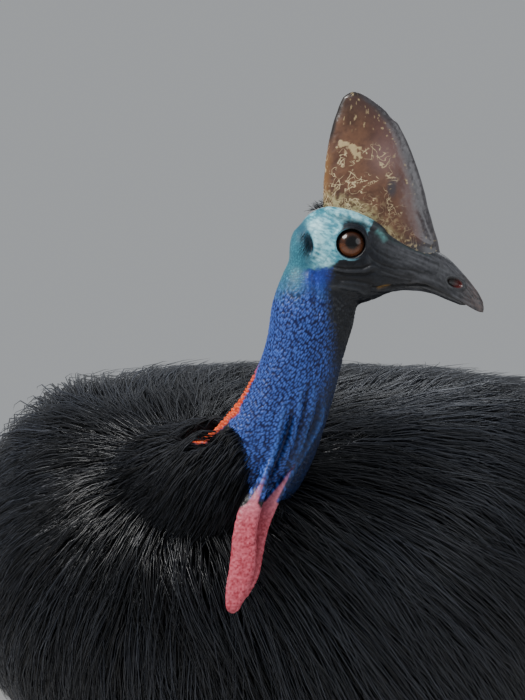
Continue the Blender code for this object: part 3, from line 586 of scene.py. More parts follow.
def coat_weight(u, a):
    """How dense the strands are: most at the front, where the photo looks."""
    belly = np.sin(a) < -0.5
    return 1.0 + 1.1 * smoothstep(0.55, 0.12, u) - 0.35 * smoothstep(0.7, 0.9, u) - 0.25 * belly


def clear_of_stripe(centres, room):
    """Which strands leave the bare strip of the nape in sight, with some room on each side of it."""
    share = np.linspace(0.55, 0.90, 12)
    strip = to_head(neck(share, np.pi + np.interp(share, *STRIPE_TURN)))
    x, y, z = to_head(centres.reshape(-1, 3)).T
    gap, place = line_distance(x, z, strip[:, [0, 2]])
    nearer = y < np.interp(place, np.linspace(0, 1, 12), strip[:, 1]) + 0.012
    return ~((gap < room) & nearer).reshape(centres.shape[:2]).any(1)


def coat_guides(draw, weight):
    """The paths of the tufts over the torso, with the length, swerve and lift of each."""
    u, a = scatter(draw, GUIDE_COUNT, weight)
    length = GUIDE_LENGTH * draw.uniform(0.78, 1.20, GUIDE_COUNT) * (0.62 + 0.38 * smoothstep(0.02, 0.2, u))
    length *= 1 - 0.40 * smoothstep(0.80, 0.93, u) - 0.38 * smoothstep(0.93, 0.98, u)
    swerve = draw.normal(0, 0.10, GUIDE_COUNT)
    lift = draw.uniform(0.0, 1.0, GUIDE_COUNT)
    return trace(u, a, length, swerve)[0], length, swerve, lift


def nearest_guides(points, guides):
    """For each point, the guide that starts nearest to it."""
    tree = kdtree.KDTree(len(guides))
    for i, point in enumerate(guides[:, 1]):
        tree.insert(point, i)
    tree.balance()
    return np.array([tree.find(p)[1] for p in points])


def lean_in(points, ups, guides, share):
    """Strands over the skin, drawn in to their guides by a share of the gap at each station."""
    last = guides.shape[1] - 1
    start = np.linalg.norm(guides - points[:, :1], axis=-1).argmin(1)
    ahead = np.minimum(start[:, None] + STRAND_STATIONS * last, last)
    i = np.minimum(ahead.astype(int), last - 1)
    f = (ahead - i)[..., None]
    rows = np.arange(len(guides))[:, None]
    gap = guides[rows, i] * (1 - f) + guides[rows, i + 1] * f - points
    gap -= ups * (gap * ups).sum(-1, keepdims=True)
    far = np.linalg.norm(gap, axis=-1, keepdims=True)
    gap *= np.minimum(1.0, TUFT_REACH / np.maximum(far, 1e-6))
    return points + gap * share


def lift_off(draw, u, a, layer, guide_lift):
    """How far strands stand off the torso: more for the upper layers and over the shoulders."""
    top = 0.010 + 0.017 * layer + 0.008 * guide_lift
    shoulder = np.exp(-(((np.abs(a - np.pi / 2) - 0.75) / 0.42) ** 2) - ((u - 0.30) / 0.17) ** 2)
    top = top + 0.024 * shoulder * draw.uniform(0.2, 1.0, STRAND_COUNT)
    lift = top[:, None] * np.interp(STRAND_STATIONS, (0, 0.15, 0.5, 1.0), (-0.35, 0.35, 0.85, 1.0))
    lift[:, 0] = -0.006
    return lift + draw.normal(0, 0.0016, (STRAND_COUNT, 1)) * STRAND_STATIONS


def waved(draw, centres, ups):
    """Strands with a slight bend and wave sideways over the skin."""
    sideways = unit(np.cross(ups, np.gradient(centres, axis=1)))
    wave = draw.normal(0, 0.0030, (STRAND_COUNT, 1)) * STRAND_STATIONS**2
    wave = wave + draw.normal(0, 0.0012, (STRAND_COUNT, 1)) * np.sin(np.pi * STRAND_STATIONS)
    return centres + sideways * wave[..., None]


def torso_strands(draw):
    """Strands in tufts: each strand keeps its own root and leans in to its guide's path towards its tip."""
    weight = coat_weight(*np.broadcast_arrays(grid_u(np.arange(GRID_U))[:, None], around(GRID_A)))
    guides, guide_length, guide_swerve, guide_lift = coat_guides(draw, weight)
    u, a = scatter(draw, STRAND_COUNT, weight)
    root = sample("point", u, a)
    own = nearest_guides(root, guides)
    length = guide_length[own] * draw.uniform(0.72, 1.12, STRAND_COUNT)
    swerve = guide_swerve[own] + draw.normal(0, 0.05, STRAND_COUNT)
    points, ups = trace(u, a, length, swerve)
    ups = unit(resample(ups, STRAND_STATIONS))
    pull = 0.78 * smoothstep(0.05, 0.95, STRAND_STATIONS)
    share = pull[None, :, None] * draw.uniform(0.5, 1.0, STRAND_COUNT)[:, None, None]
    centres = lean_in(resample(points, STRAND_STATIONS), ups, guides[own], share)
    layer = draw.random(STRAND_COUNT)
    centres = centres + ups * lift_off(draw, u, a, layer, guide_lift[own])[..., None]
    centres = waved(draw, centres, ups)
    past = np.maximum(centres[..., 1] - RUMP_Y, 0)
    centres[..., 1] -= past - RUMP_ROOM * (1 - np.exp(-past / RUMP_ROOM))
    centres[..., 2] -= 0.3 * past
    tuft_tone, own_tone = draw.random(GUIDE_COUNT)[own] - 0.5, draw.random(STRAND_COUNT) - 0.5
    # Upper layers are painted paler, as lit, and lower ones darker, as shaded; tufts and strands also differ
    # at random, and strands near the neck's foot are darker.
    tone = clamp(0.18 + 0.45 * layer + 0.35 * tuft_tone + 0.45 * own_tone)
    tone *= 0.35 + 0.65 * smoothstep(0.07, 0.17, np.linalg.norm(root - from_head(ROOT_FROM_EYES), axis=-1))
    width = STRAND_HALF_WIDTH * draw.uniform(0.7, 1.25, STRAND_COUNT)
    clear = clear_of_stripe(centres, 0.0075)
    return [values[clear] for values in (centres, ups, width, (a / (2 * np.pi)) % 1.0, u, tone)]


def make_coat(material):
    """The torso's strands, in pieces from front to back."""
    strands = torso_strands(np.random.default_rng(COAT_SEED))
    from_the_front = np.argsort(strands[4])
    for i, start in enumerate(range(0, len(from_the_front), STRANDS_A_PIECE)):
        rows = from_the_front[start:start + STRANDS_A_PIECE]
        plumage(material, f"coat_{i}", *(values[rows] for values in strands))


def make_thigh_coat(material):
    """Shorter strands down the thighs, which hang past the ankles at their ends."""
    draw = np.random.default_rng(COAT_SEED + 1)
    for side, label in SIDES.items():
        share = draw.uniform(0.12, 0.90, THIGH_STRANDS)
        angle = draw.uniform(0, 2 * np.pi, THIGH_STRANDS)
        length = 0.105 * draw.uniform(0.7, 1.15, THIGH_STRANDS) * (1 - 0.35 * smoothstep(0.6, 0.9, share))
        leg = leg_point(ANKLE, side) - leg_point(HIP, side, 0.0)
        reach = np.linalg.norm(leg)
        places = share[:, None] + length[:, None] * STRAND_STATIONS / reach
        twist = angle[:, None] + draw.normal(0, 0.10, (THIGH_STRANDS, 1)) * STRAND_STATIONS
        base = thigh(side, np.minimum(places, 1.0), twist)
        outward = unit(thigh(side, np.minimum(places, 1.0), twist, 0.01) - base)
        base = base + unit(leg) * (np.maximum(places - 1.0, 0) * reach * 0.8)[..., None]
        lift = (0.005 + 0.012 * draw.random(THIGH_STRANDS))[:, None]
        lift = lift * np.interp(STRAND_STATIONS, (0, 0.2, 1.0), (-0.4, 0.7, 1.0))
        width = STRAND_HALF_WIDTH * draw.uniform(0.7, 1.1, THIGH_STRANDS)
        tone = draw.uniform(0.2, 0.8, THIGH_STRANDS)
        centres = base + outward * lift[..., None]
        plumage(material, f"coat_thigh_{label}", centres, outward, width, angle / (2 * np.pi), share, tone)


# The velvet of the neck's foot, in the head's frame: where it begins, as x at each height.
VELVET_EDGE_Z = (-0.262, -0.255, -0.235, -0.215, -0.202, -0.190, -0.180, -0.170)
VELVET_EDGE_X = (-0.050, -0.094, -0.099, -0.100, -0.103, -0.109, -0.118, -0.140)


def make_velvet(material):
    """Short, dense feathers over the foot of the neck, up to a clean edge along the bare skin."""
    draw = np.random.default_rng(COAT_SEED + 2)
    tries = VELVET_STRANDS * 3
    share = draw.uniform(0.55, 1.04, tries)
    angle = draw.uniform(0, 2 * np.pi, tries)
    root = neck(share, angle)
    x, _, z = to_head(root).T
    edge = np.interp(z, VELVET_EDGE_Z, VELVET_EDGE_X) + draw.normal(0, 0.0008, tries)
    bare = nape_stripe(share, (angle + np.pi) % (2 * np.pi) - np.pi, 0)
    keep = np.flatnonzero((x < edge) & (draw.random(tries) > bare))[:VELVET_STRANDS]
    share, angle, root = share[keep], angle[keep], root[keep]
    count = len(share)
    outward = unit(neck(share, angle, 0.01) - root)
    down = unit(neck(share + 0.02, angle) - neck(share - 0.02, angle))
    x, _, z = to_head(root).T
    inside = np.interp(z, VELVET_EDGE_Z, VELVET_EDGE_X) - x
    backward = from_head(np.array((-1.0, 0.0, -0.6))) - HEAD_CENTRE
    lean = unit(down + 0.25 * backward + draw.normal(0, 0.10, (count, 3)))
    length = (0.019 + 0.030 * smoothstep(0.0, 0.05, inside)) * draw.uniform(0.7, 1.5, count)
    rise = (0.006 + 0.010 * smoothstep(0, 0.02, inside) + 0.008 * draw.random(count))[:, None]
    rise = rise * np.interp(STRAND_STATIONS, (0, 0.25, 0.7, 1.0), (-0.3, 0.75, 1.0, 0.85))
    centres = root[:, None] + outward[:, None] * rise[..., None]
    centres = centres + lean[:, None] * (length[:, None] * STRAND_STATIONS)[..., None] + drooping(0.006)
    clear = clear_of_stripe(centres, 0.0042)
    centres, outward, share, angle = centres[clear], outward[clear], share[clear], angle[clear]
    width = VELVET_HALF_WIDTH * draw.uniform(0.7, 1.2, len(share))
    plumage(material, "coat_velvet", centres, outward[:, None], width, (angle / (2 * np.pi)) % 1,
            clamp(share - 0.1), draw.uniform(0.0, 0.45, len(share)))


def drooping(drop):
    """How a strand bends down from its root to its tip."""
    return (STRAND_STATIONS**2)[None, :, None] * DOWN * drop


def make_bristles(material):
    """Thin black bristles behind the casque's foot and round the ears."""
    draw = np.random.default_rng(COAT_SEED + 3)
    roots, leans, lengths = [], [], []
    for _ in range(70):
        x = draw.uniform(-0.038, -0.020)
        roots.append((x, draw.normal(0, 0.011), 0.030 + 0.35 * (x + 0.044)))
        leans.append((-0.8 + draw.normal(0, 0.35), draw.normal(0, 0.4), 0.85 + draw.normal(0, 0.35)))
        lengths.append(draw.uniform(0.006, 0.014))
    for side in SIDES:
        for _ in range(60):
            roots.append((draw.normal(-0.0445, 0.0022), side * 0.0225, draw.uniform(-0.011, 0.012)))
            leans.append((-0.6 + draw.normal(0, 0.2), side * 0.8, -0.5 + draw.normal(0, 0.3)))
            lengths.append(draw.uniform(0.004, 0.008))
    count = len(roots)
    lean = from_head(unit(np.array(leans))) - HEAD_CENTRE
    reach = np.array(lengths)[:, None] * STRAND_STATIONS
    centres = from_head(roots)[:, None] + lean[:, None] * reach[..., None] + drooping(0.003)
    ups = unit(np.cross(lean, (0.3, 0.5, 0.8)))[:, None]
    plumage(material, "coat_bristles", centres, ups, np.full(count, BRISTLE_HALF_WIDTH),
            draw.random(count), draw.random(count), np.full(count, 0.1))


def dress_eye(obj):
    """The iris and pupil, by how far each point is from the middle of the eye; the iris is painted darker at
    its top and lighter at its bottom, as shade under the upper lid and light from above.
    """
    x, _, z = head_mm(vertices(obj))
    out = np.hypot(x - 0.8, z + 0.6)
    pupil = np.hypot(x - 1.0, z - 1.2)
    spokes = value_noise(columns(np.arctan2(z, x) * 14, out * 0.6, 0), 5) - 0.5
    # Painted light on the iris: darker upwards as shade under the upper lid, lighter downwards, with random
    # spokes.
    iris = blend((0.034, 0.012, 0.006), (0.17, 0.058, 0.024), clamp(0.36 - 0.062 * z + 0.7 * spokes))
    iris = blend(iris, (0.012, 0.005, 0.004), smoothstep(11.9, 13.0, out))
    iris = blend(iris, (0.0015, 0.0015, 0.002), smoothstep(8.8, 5.0, pupil))
    set_tint(obj, blend(iris, (0.003, 0.003, 0.004), smoothstep(12.9, 13.6, out)))


# In the head's side view, in millimetres forward of the eye and above it: where skin and casque meet,
# and the casque's cream patches, each with its half width and half height.
SKIN_LINE = ((-30, 42), (-12, 40), (4, 34), (16, 29), (23, 20), (32, 12), (42, 2), (56, -4), (79, -12))
CREAM_SPOTS = ((-8, 98, 7, 5), (2, 93, 8, 5), (8, 86, 4, 5.5))


def casque_brown(x, z, front, rear, wander, fine):
    """The brown of the plates, with a dark rim and top, an amber rear edge and a painted pale reflection of
    the sky on the side.
    """
    brown = blend((0.066, 0.027, 0.016), (0.165, 0.078, 0.043), clamp(0.5 + 1.6 * wander + 0.7 * fine))
    brown = blend(brown, (0.105, 0.046, 0.042), smoothstep(38, 14, front) * 0.75)
    # Painted reflection of the sky: a soft, pale pink-grey patch on the plates.
    sheen = np.exp(-(((x - 33) / 15) ** 2 + ((z - 86) / 19) ** 2))
    brown = blend(brown, (0.25, 0.155, 0.150), 0.60 * sheen)
    brown = blend(brown, (0.030, 0.018, 0.013), smoothstep(105, 146, z) * 0.65)
    rim = smoothstep(5, 1, rear) * smoothstep(92, 112, z) + smoothstep(7, 2, 151 - z)
    brown = blend(brown, (0.018, 0.013, 0.012), clamp(rim))
    amber = smoothstep(9, 0, rear) * window(z, 34, 50, 80, 96)
    return blend(brown, (0.25, 0.125, 0.035), amber * 0.6)


def cream_flakes(place, front, rear, foot):
    """Where cream shows through: patches near the top, flecks by them, and marks along the edges."""
    x, _, z = place.T
    cream = np.zeros_like(x)
    for middle_x, middle_z, half_width, half_height in CREAM_SPOTS:
        blob = ((x - middle_x) / half_width) ** 2 + ((z - middle_z) / half_height) ** 2
        blob = blob + 5.0 * (cloud(place, 3.4, 90, 3) - 0.42)
        cream = np.maximum(cream, smoothstep(1.05, 0.75, blob))
    region = window(z, 108, 116, 140, 148) * smoothstep(10, 16, front) * smoothstep(4, 8, rear)
    flecks = smoothstep(0.72, 0.79, cloud(place / (1.0, 1.0, 4.2), 1.5, 95, 2))
    cream = np.maximum(cream, 0.7 * flecks * region)
    marks = cloud(place, 2.6, 97, 2)
    by_keel = window(front, 8, 12, 16, 26) * smoothstep(40, 60, z)
    cream = np.maximum(cream, 0.8 * smoothstep(0.70, 0.76, marks) * by_keel)
    return np.maximum(cream, 0.7 * smoothstep(0.66, 0.74, marks) * smoothstep(26, 8, foot))


def dress_casque(obj):
    """Worn horn: brown plates with cream scratches and flakes, a slate keel and a mottled foot."""
    x, y, z = head_mm(vertices(obj))
    place = columns(x, y, z)
    front = 1000 * np.interp(z / 1000, CASQUE_Z, CASQUE_FRONT) - x
    rear = x - 1000 * np.interp(z / 1000, CASQUE_Z, CASQUE_REAR)
    foot, _ = line_distance(x, z, SKIN_LINE)
    wander = cloud(place, 12.0, 61) - 0.5
    fine = cloud(place, 2.2, 64, 3) - 0.5
    keel_width = np.interp(z, (-10, 30, 100, 130, 150), (15, 12, 9, 7, 5)) + 6 * wander + 3 * fine
    slate = blend((0.038, 0.033, 0.038), (0.125, 0.115, 0.125), clamp(0.45 + 1.5 * fine + wander))
    slate = blend(slate, (0.030, 0.026, 0.030), 0.7 * smoothstep(112, 132, z))
    colour = casque_brown(x, z, front, rear, wander, fine)
    colour = blend(colour, slate, smoothstep(keel_width + 7, keel_width - 3, front))
    stain = np.exp(-(((x - 41) / 5.0) ** 2 + ((z - 55) / 9.0) ** 2) ** 2)
    colour = blend(colour, (0.042, 0.042, 0.052), stain * 0.8)
    mottle = cloud(place, 3.2, 71, 3)
    olive = blend((0.10, 0.075, 0.028), (0.40, 0.35, 0.17), smoothstep(0.40, 0.62, mottle))
    band = smoothstep(13, 3, foot) * smoothstep(62, 40, x)
    colour = blend(colour, olive, clamp(band * (0.45 + 1.2 * (mottle - 0.4))))
    colour = blend(colour, (0.040, 0.040, 0.046), smoothstep(14, 3, foot) * smoothstep(48, 66, x) * 0.9)
    cream = cream_flakes(place, front, rear, foot)
    colour = blend(colour, (0.50, 0.39, 0.21), clamp(cream) * 0.85)
    worn = smoothstep(0.50, 0.60, cloud(place, 8.0, 81, 2) + 0.07 * smoothstep(20, -10, x))
    plates = window(z, 24, 34, 92, 104) * smoothstep(20, 30, front)
    set_attribute(obj, "worn", clamp(worn * plates + 0.5 * smoothstep(24, 8, foot) * (front > 22)))
    keel_edge = np.exp(-((front - keel_width) / 3.0) ** 2) * (z > 5)
    relief = 0.20 * cream + 0.9 * wander + 0.22 * fine - 0.25 * keel_edge
    relief += fold(x, z, ((66, 36), (74, 22), (80, 6), (86, -4)), 3.0, 0.9)
    relief += fold(x, z, ((60, 10), (72, 2), (84, -3)), 2.4, 0.8)
    relief -= 0.9 * np.exp(-(((z - 127) / 3.6) ** 2 + (front / 5) ** 2))
    relief += 0.6 * np.exp(-(((z - 119) / 4.5) ** 2 + (front / 6) ** 2))
    set_vertices(obj, raised(obj, relief))
    set_tint(obj, colour)


# Grooves and ridges of the bill in its side view: a line, its width and its height, in millimetres.
BILL_LINES = (
    (((82, -40), (100, -48), (114, -56), (126, -63)), 1.2, -0.8),
    (((80, -36), (98, -43.5), (112, -51), (124, -59)), 1.1, -0.6),
    (((84, -30), (98, -46), (110, -52), (122, -60)), 2.0, 0.5),
)
CULMEN_LINE = ((82, -9), (96, -20), (110, -35), (122, -50), (129, -60))
NOSTRIL = (104.5, -39.5)
NOSTRIL_HALF_LENGTH = 8.2
NOSTRIL_HALF_HEIGHT = 4.3


def dress_bill(obj):
    """Slate horn with long grooves, paler at the tip, and the nostrils' hollows with their rims."""
    x, y, z = head_mm(vertices(obj))
    fine = cloud(columns(x, y, z), 1.8, 101, 3) - 0.5
    colour = slate_skin(x, y, z, fine)
    colour = blend(colour, (0.12, 0.085, 0.080), smoothstep(104, 131, x) * clamp(0.5 + 2 * fine))
    ahead, above = x - NOSTRIL[0], z - NOSTRIL[1]
    along = ahead * 0.93 - above * 0.36
    hole = np.hypot(along / NOSTRIL_HALF_LENGTH, (above * 0.93 + ahead * 0.36) / NOSTRIL_HALF_HEIGHT)
    hole = hole + 9.0 * (np.abs(y) < 4)
    colour = blend(colour, (0.035, 0.037, 0.042), smoothstep(1.7, 1.2, hole))
    # Painted shade in the nostril's hollow: near black at its back, turning to dark red skin towards its
    # front.
    inside = blend((0.005, 0.003, 0.003), (0.095, 0.012, 0.011), smoothstep(-2.5, 5.0, along))
    colour = blend(colour, inside, smoothstep(1.05, 0.88, hole))
    relief = -3.6 * smoothstep(1.05, 0.65, hole) + 1.0 * np.exp(-(((hole - 1.30) / 0.20) ** 2))
    relief += fold(x, z, CULMEN_LINE, 1.4, -0.8) * (np.abs(y) > 3)
    for line, width, height in BILL_LINES:
        relief += fold(x, z, line, width, height)
    relief += 0.25 * horn_streaks(x, y, z) + 0.8 * face_folds(x, z)[0] * (hole > 1.2)
    set_vertices(obj, raised(obj, relief))
    set_tint(obj, colour)


def coat_material(name, roughness, specular):
    """Black barbs, with the tone of each strand between a deep black and a paler, bluer black that is a
    painted sheen.
    """
    material = plain_material(name, (0.010, 0.0105, 0.012), roughness, Specular_IOR_Level=specular)
    tree, shader = node_tree(material)
    attribute = tree.nodes.new("ShaderNodeAttribute")
    attribute.attribute_name = "tone"
    ramp = tree.nodes.new("ShaderNodeValToRGB")
    # The ramp's pale, bluish end is a painted sheen.
    ramp.color_ramp.elements[0].color = (0.0022, 0.0024, 0.0032, 1)
    ramp.color_ramp.elements[1].color = (0.043, 0.050, 0.070, 1)
    tree.links.new(attribute.outputs["Fac"], ramp.inputs["Fac"])
    tree.links.new(ramp.outputs["Color"], shader.inputs["Base Color"])
    return material


# The neck's rows, evenly spaced: middle, half size fore and aft, and half size across.
NECK_ROWS = spline(np.column_stack([NECK_PATH, NECK_FORE_AFT, NECK_ACROSS]), 61)
NECK_SQUARENESS = 2.1


def neck(share, angle, out=0.0):
    """Points of the neck's skin; angle 0 is the throat, a quarter turn the bird's left."""
    share, angle = np.broadcast_arrays(clamp(share), angle)
    shares = np.linspace(0, 1, len(NECK_ROWS))

    def rows(at):
        return np.stack([np.interp(at, shares, NECK_ROWS[:, k]) for k in range(5)], -1)

    row = rows(share)
    direction = unit(rows(share + 0.02)[..., :3] - rows(share - 0.02)[..., :3])
    forward = np.array((1.0, 0.0, 0.0)) - direction * direction[..., 0:1]
    forward = unit(forward)
    side = np.cross(direction, forward)
    reach = signed_power(np.cos(angle), 2 / NECK_SQUARENESS) * (row[..., 3] + out)
    width = signed_power(np.sin(angle), 2 / NECK_SQUARENESS) * (row[..., 4] + out)
    return from_head(row[..., :3] + forward * reach[..., None] + side * width[..., None])


def skull_skin():
    """The skull as rings along x: a rounded back, the braincase and the muzzle inside the bill's root."""
    x = np.linspace(SKULL_X[0], SKULL_X[-1], 60)[:, None]
    angle = around(64)
    top, bottom, half = (smooth_between(x, SKULL_X, v) for v in (SKULL_TOP, SKULL_BOTTOM, SKULL_HALF_WIDTH))
    y = half * signed_power(np.cos(angle), 2 / SKULL_SQUARENESS)
    z = (top + bottom) / 2 + (top - bottom) / 2 * signed_power(np.sin(angle), 2 / SKULL_SQUARENESS)
    rings = columns(x, y, z)
    back = np.array(SKULL_BACK)
    cap = []
    for w in (0.15, 0.4, 0.65, 0.85, 0.95):
        behind = np.array((1, 0, 0)) * (rings[0][:, :1] - back[0]) * (1 - math.sqrt(1 - w * w))
        cap.append(back + (rings[0] - back) * np.array((0, w, w)) + behind)
    muzzle = []
    for x_at, top_at, bottom_at, half_at in MUZZLE:
        height = (top_at + bottom_at) / 2 + (top_at - bottom_at) / 2 * signed_power(np.sin(angle[0]), 0.95)
        muzzle.append(columns(x_at, half_at * signed_power(np.cos(angle[0]), 0.85), height))
    return loft("skull", from_head(np.concatenate([np.array(cap), rings, np.array(muzzle)])))


def ellipsoid(name, centre, axes, rows=16, sides=24):
    """An ellipsoid in the head's frame, from its three half axes."""
    polar = np.linspace(0, np.pi, rows + 1)[1:-1][:, None]
    angle = around(sides)
    a, b, c = (np.array(v, float) for v in axes)
    rings = (
        np.array(centre)
        + (np.sin(polar) * np.cos(angle))[..., None] * a
        + (np.sin(polar) * np.sin(angle))[..., None] * b
        + (np.cos(polar) * np.ones_like(angle))[..., None] * c
    )
    return loft(name, from_head(rings))


def lid(side):
    """The ring of the eyelids round one eye."""
    lateral = EYE_DEPTH + math.sqrt(EYE_RADIUS**2 - LID_RADIUS**2) + 0.0006
    rings = []
    for k in range(49):
        angle = 2 * math.pi * k / 48
        out = np.array((math.cos(angle), 0.0, math.sin(angle)))
        centre = out * (LID_RADIUS + 0.0021) + np.array((0.0, side * lateral, 0.0))
        turn = np.linspace(0, 2 * np.pi, 13)[:-1]
        rings.append(centre + np.cos(turn)[:, None] * out * 0.0025
                     + np.sin(turn)[:, None] * np.array((0.0, 0.0040, 0.0)))
    return loft("lid", from_head(np.array(rings)))


def wattle(stations):
    """One wattle: a flat, hanging lobe with a rounded end."""
    rows = spline(np.array(stations), 44)
    last = rows[-1]
    ends = [np.array([last[0] - 0.0010 * t, last[1], last[2] - 0.0075 * t, last[3] * w, last[4] * w])
            for t, w in ((0.35, 0.90), (0.65, 0.70), (0.85, 0.46), (0.97, 0.18))]
    rows = np.vstack([rows, ends])
    angle = around(32)
    flat = columns(rows[:, 3], -0.15 * rows[:, 3], 0 * rows[:, 3])[:, None]
    thick = (unit(np.array((0.15, 1.0, 0.0))) * rows[:, 4:5])[:, None]
    c, s = signed_power(np.cos(angle), 2 / 2.4)[..., None], signed_power(np.sin(angle), 2 / 2.4)[..., None]
    rings = rows[:, None, :3] + flat * c + thick * s
    return loft("wattle", from_head(rings))


def head_skin():
    """The skin of head and neck: the smooth forms first, then the lids, brows and wattles on them."""
    share = np.linspace(0.02, 0.97, 110)[:, None]
    smooth = join([
        skull_skin(),
        loft("neck_skin", neck(share, around(72), np.interp(share, (0.0, 0.17), (-0.006, 0.0)))),
    ], "smooth_skin")
    remesh(smooth, 0.0022, 24)
    parts = [smooth, lid(1), lid(-1), wattle(WATTLE_RIGHT), wattle(WATTLE_LEFT)]
    for side in SIDES:
        parts.append(ellipsoid("brow", (0.004, side * 0.0190, 0.0235),
                               ((0.003, 0, 0.0066), (0, 0.0085, 0), (0.031, 0, -0.0115))))
    return remesh(join(parts, "head_skin"), SKIN_VOXEL, 4)


def hashed(cells, seed):
    """Random numbers from 0 to 1 for whole-number cells, three each."""
    x = cells.astype(np.int64)
    h = (x[..., 0] * 73856093) ^ (x[..., 1] * 19349663) ^ (x[..., 2] * 83492791) ^ (seed * 2654435761)
    out = []
    for k in range(3):
        h = ((h ^ (h >> 15)) * (2246822519 + 2 * k)) & 0xFFFFFFFF
        h = ((h ^ (h >> 13)) * 3266489917) & 0xFFFFFFFF
        out.append(((h ^ (h >> 16)) & 0xFFFFFF) / 16777216.0)
    return np.stack(out, -1)


def cells(points, seed, flat=False):
    """Distances to the nearest two of scattered points, and a random number for the nearest."""
    base = np.floor(points)
    near = np.full(len(points), 9.0)
    second = np.full(len(points), 9.0)
    tag = np.zeros(len(points))
    for i in (-1, 0, 1):
        for j in (-1, 0, 1):
            for k in (0,) if flat else (-1, 0, 1):
                cell = base + (i, j, k)
                spot = hashed(cell, seed)
                away = cell + 0.15 + 0.7 * spot - points
                if flat:
                    away[:, 2] = 0
                gap = np.linalg.norm(away, axis=-1)
                closer = gap < near
                second = np.where(closer, near, np.minimum(second, gap))
                tag = np.where(closer, spot[:, 0], tag)
                near = np.where(closer, gap, near)
    return near, second, tag


def value_noise(points, seed):
    """Smooth noise from 0 to 1, between random values at the whole-number corners."""
    base = np.floor(points)
    f = points - base
    f = f * f * (3 - 2 * f)
    total = 0
    for corner in np.ndindex(2, 2, 2):
        x, y, z = np.where(corner, f, 1 - f).T
        total = total + x * y * z * hashed(base + corner, seed)[:, 0]
    return total


def cloud(points, size, seed, octaves=3):
    """Soft noise from 0 to 1."""
    total, share = 0, 0.5
    for octave in range(octaves):
        total = total + share * value_noise(points / size * 2**octave, seed + octave)
        share *= 0.5
    return total / (1 - 0.5**octaves)


def line_distance(x, z, line):
    """How far points of the side view are from a line of points, and how far along it, from 0 to 1."""
    line = np.array(line, float)
    pieces = np.linalg.norm(np.diff(line, axis=0), axis=1)
    total, passed = pieces.sum(), 0.0
    best = np.full(np.shape(x), 1e9)
    place = np.zeros(np.shape(x))
    for (ax, az), (bx, bz), length in zip(line[:-1], line[1:], pieces):
        t = clamp(((x - ax) * (bx - ax) + (z - az) * (bz - az)) / length**2)
        gap = np.hypot(x - ax - t * (bx - ax), z - az - t * (bz - az))
        closer = gap < best
        place = np.where(closer, (passed + t * length) / total, place)
        best = np.where(closer, gap, best)
        passed += length
    return best, place


def fold(x, z, line, width, height, ends=0.15):
    """A ridge, or with a negative height a groove, along a line; it dies away at both ends."""
    gap, place = line_distance(x, z, line)
    fade = smoothstep(0, ends, place) * smoothstep(1, 1 - ends, place) if ends else 1
    return height * fade * np.exp(-((gap / width) ** 2))


# The neck's length and mean radius in millimetres, for the rows of its papillae.
NECK_LENGTH = 1000 * np.linalg.norm(np.diff(NECK_ROWS[:, :3], axis=0), axis=1).sum()
NECK_GIRTH = 1000 * NECK_ROWS[:, 3:5].mean()
EAR_X = -41.5
# Lines of the head's side view, in millimetres forward of the eye and above it, with the width and
# height of the fold along each. The neck's folds also say on which side they lie.
FACE_FOLDS = (
    (((-18, 30), (0, 29), (15, 21), (28, 11), (38, 3)), 3.5, 0.9),
    (((-35, 15), (-33, 0), (-37, -16)), 3.0, 1.2),
    (((-37, -23), (-35, -40), (-34, -58), (-30, -76)), 2.4, -1.3),
    (((-42, -26), (-41, -44), (-39, -66), (-36, -84)), 3.4, 0.9),
    (((-22, -22), (-6, -25), (12, -24), (24, -19)), 1.2, -0.9),
    (((-20, -28), (-4, -31), (14, -31), (26, -27)), 1.2, -1.0),
    (((-20, -25), (-5, -28), (12, -27.5), (25, -23)), 1.3, 0.6),
    (((-18, -36), (0, -36), (16, -39), (26, -44)), 1.5, -0.7),
    (((-26, -33), (-12, -34), (2, -33)), 1.0, -0.5),
    (((-12, -39), (4, -39), (18, -43)), 1.1, 0.5),
    (((16, -8), (22, -16), (34, -22), (48, -26)), 0.9, -0.5),
    (((18, 0), (26, -8), (38, -14), (54, -18)), 1.0, -0.4),
    (((30, -27), (50, -32), (74, -37), (92, -45)), 0.8, 0.4),
    (((-24, -44), (-8, -43), (8, -46), (18, -53)), 2.4, 0.8),
    (((20, -24), (44, -31), (68, -36), (90, -45), (106, -54)), 1.0, -0.7),
    (((26, -31), (48, -36), (72, -40), (94, -50)), 0.9, -0.6),
    (((22, -18), (40, -24), (62, -27), (80, -32)), 1.1, -0.45),
    (((14, -12), (20, -22), (34, -30), (50, -35)), 1.4, 0.5),
    (((16, -43), (26, -44.5), (42, -43), (66, -41), (80, -43)), 1.0, -1.6),
    (((20, -47), (36, -47), (56, -46), (74, -47)), 1.4, 0.5),
    (((10, 20), (22, 13), (34, 4)), 1.6, -0.7),
)
NECK_FOLDS = (
    (((-64, -150), (-70, -184), (-74, -203), (-81, -222), (-88, -242), (-96, -256)), 3.4, 4.2, -1),
    (((-54, -156), (-63, -192), (-72, -216), (-80, -236), (-90, -256)), 3.0, -4.2, -1),
    (((-46, -130), (-52, -170), (-60, -200), (-70, -228)), 2.4, 1.6, 0),
    (((-40, -130), (-46, -170), (-55, -204), (-66, -230)), 2.0, -2.0, 0),
    (((-34, -128), (-39, -170), (-48, -202), (-60, -228)), 2.3, 1.5, 0),
    (((-28, -140), (-34, -176), (-46, -206), (-60, -232)), 2.0, -1.8, 0),
    (((-24, -150), (-31, -180), (-45, -207), (-59, -231), (-75, -253)), 3.0, 3.6, 0),
)


def pebbles(share, angle, across, long, lean):
    """Papillae in slanting rows down the neck: their height from 0 to 1, and a random number for each."""
    down, round_it = NECK_LENGTH * share, NECK_GIRTH * np.abs(angle)
    p = (down * math.cos(lean) + round_it * math.sin(lean)) / long
    q = (round_it * math.cos(lean) - down * math.sin(lean)) / across
    near, _, tag = cells(columns(q, p, 0 * p), 3, True)
    return smoothstep(0.62, 0.16, near), tag


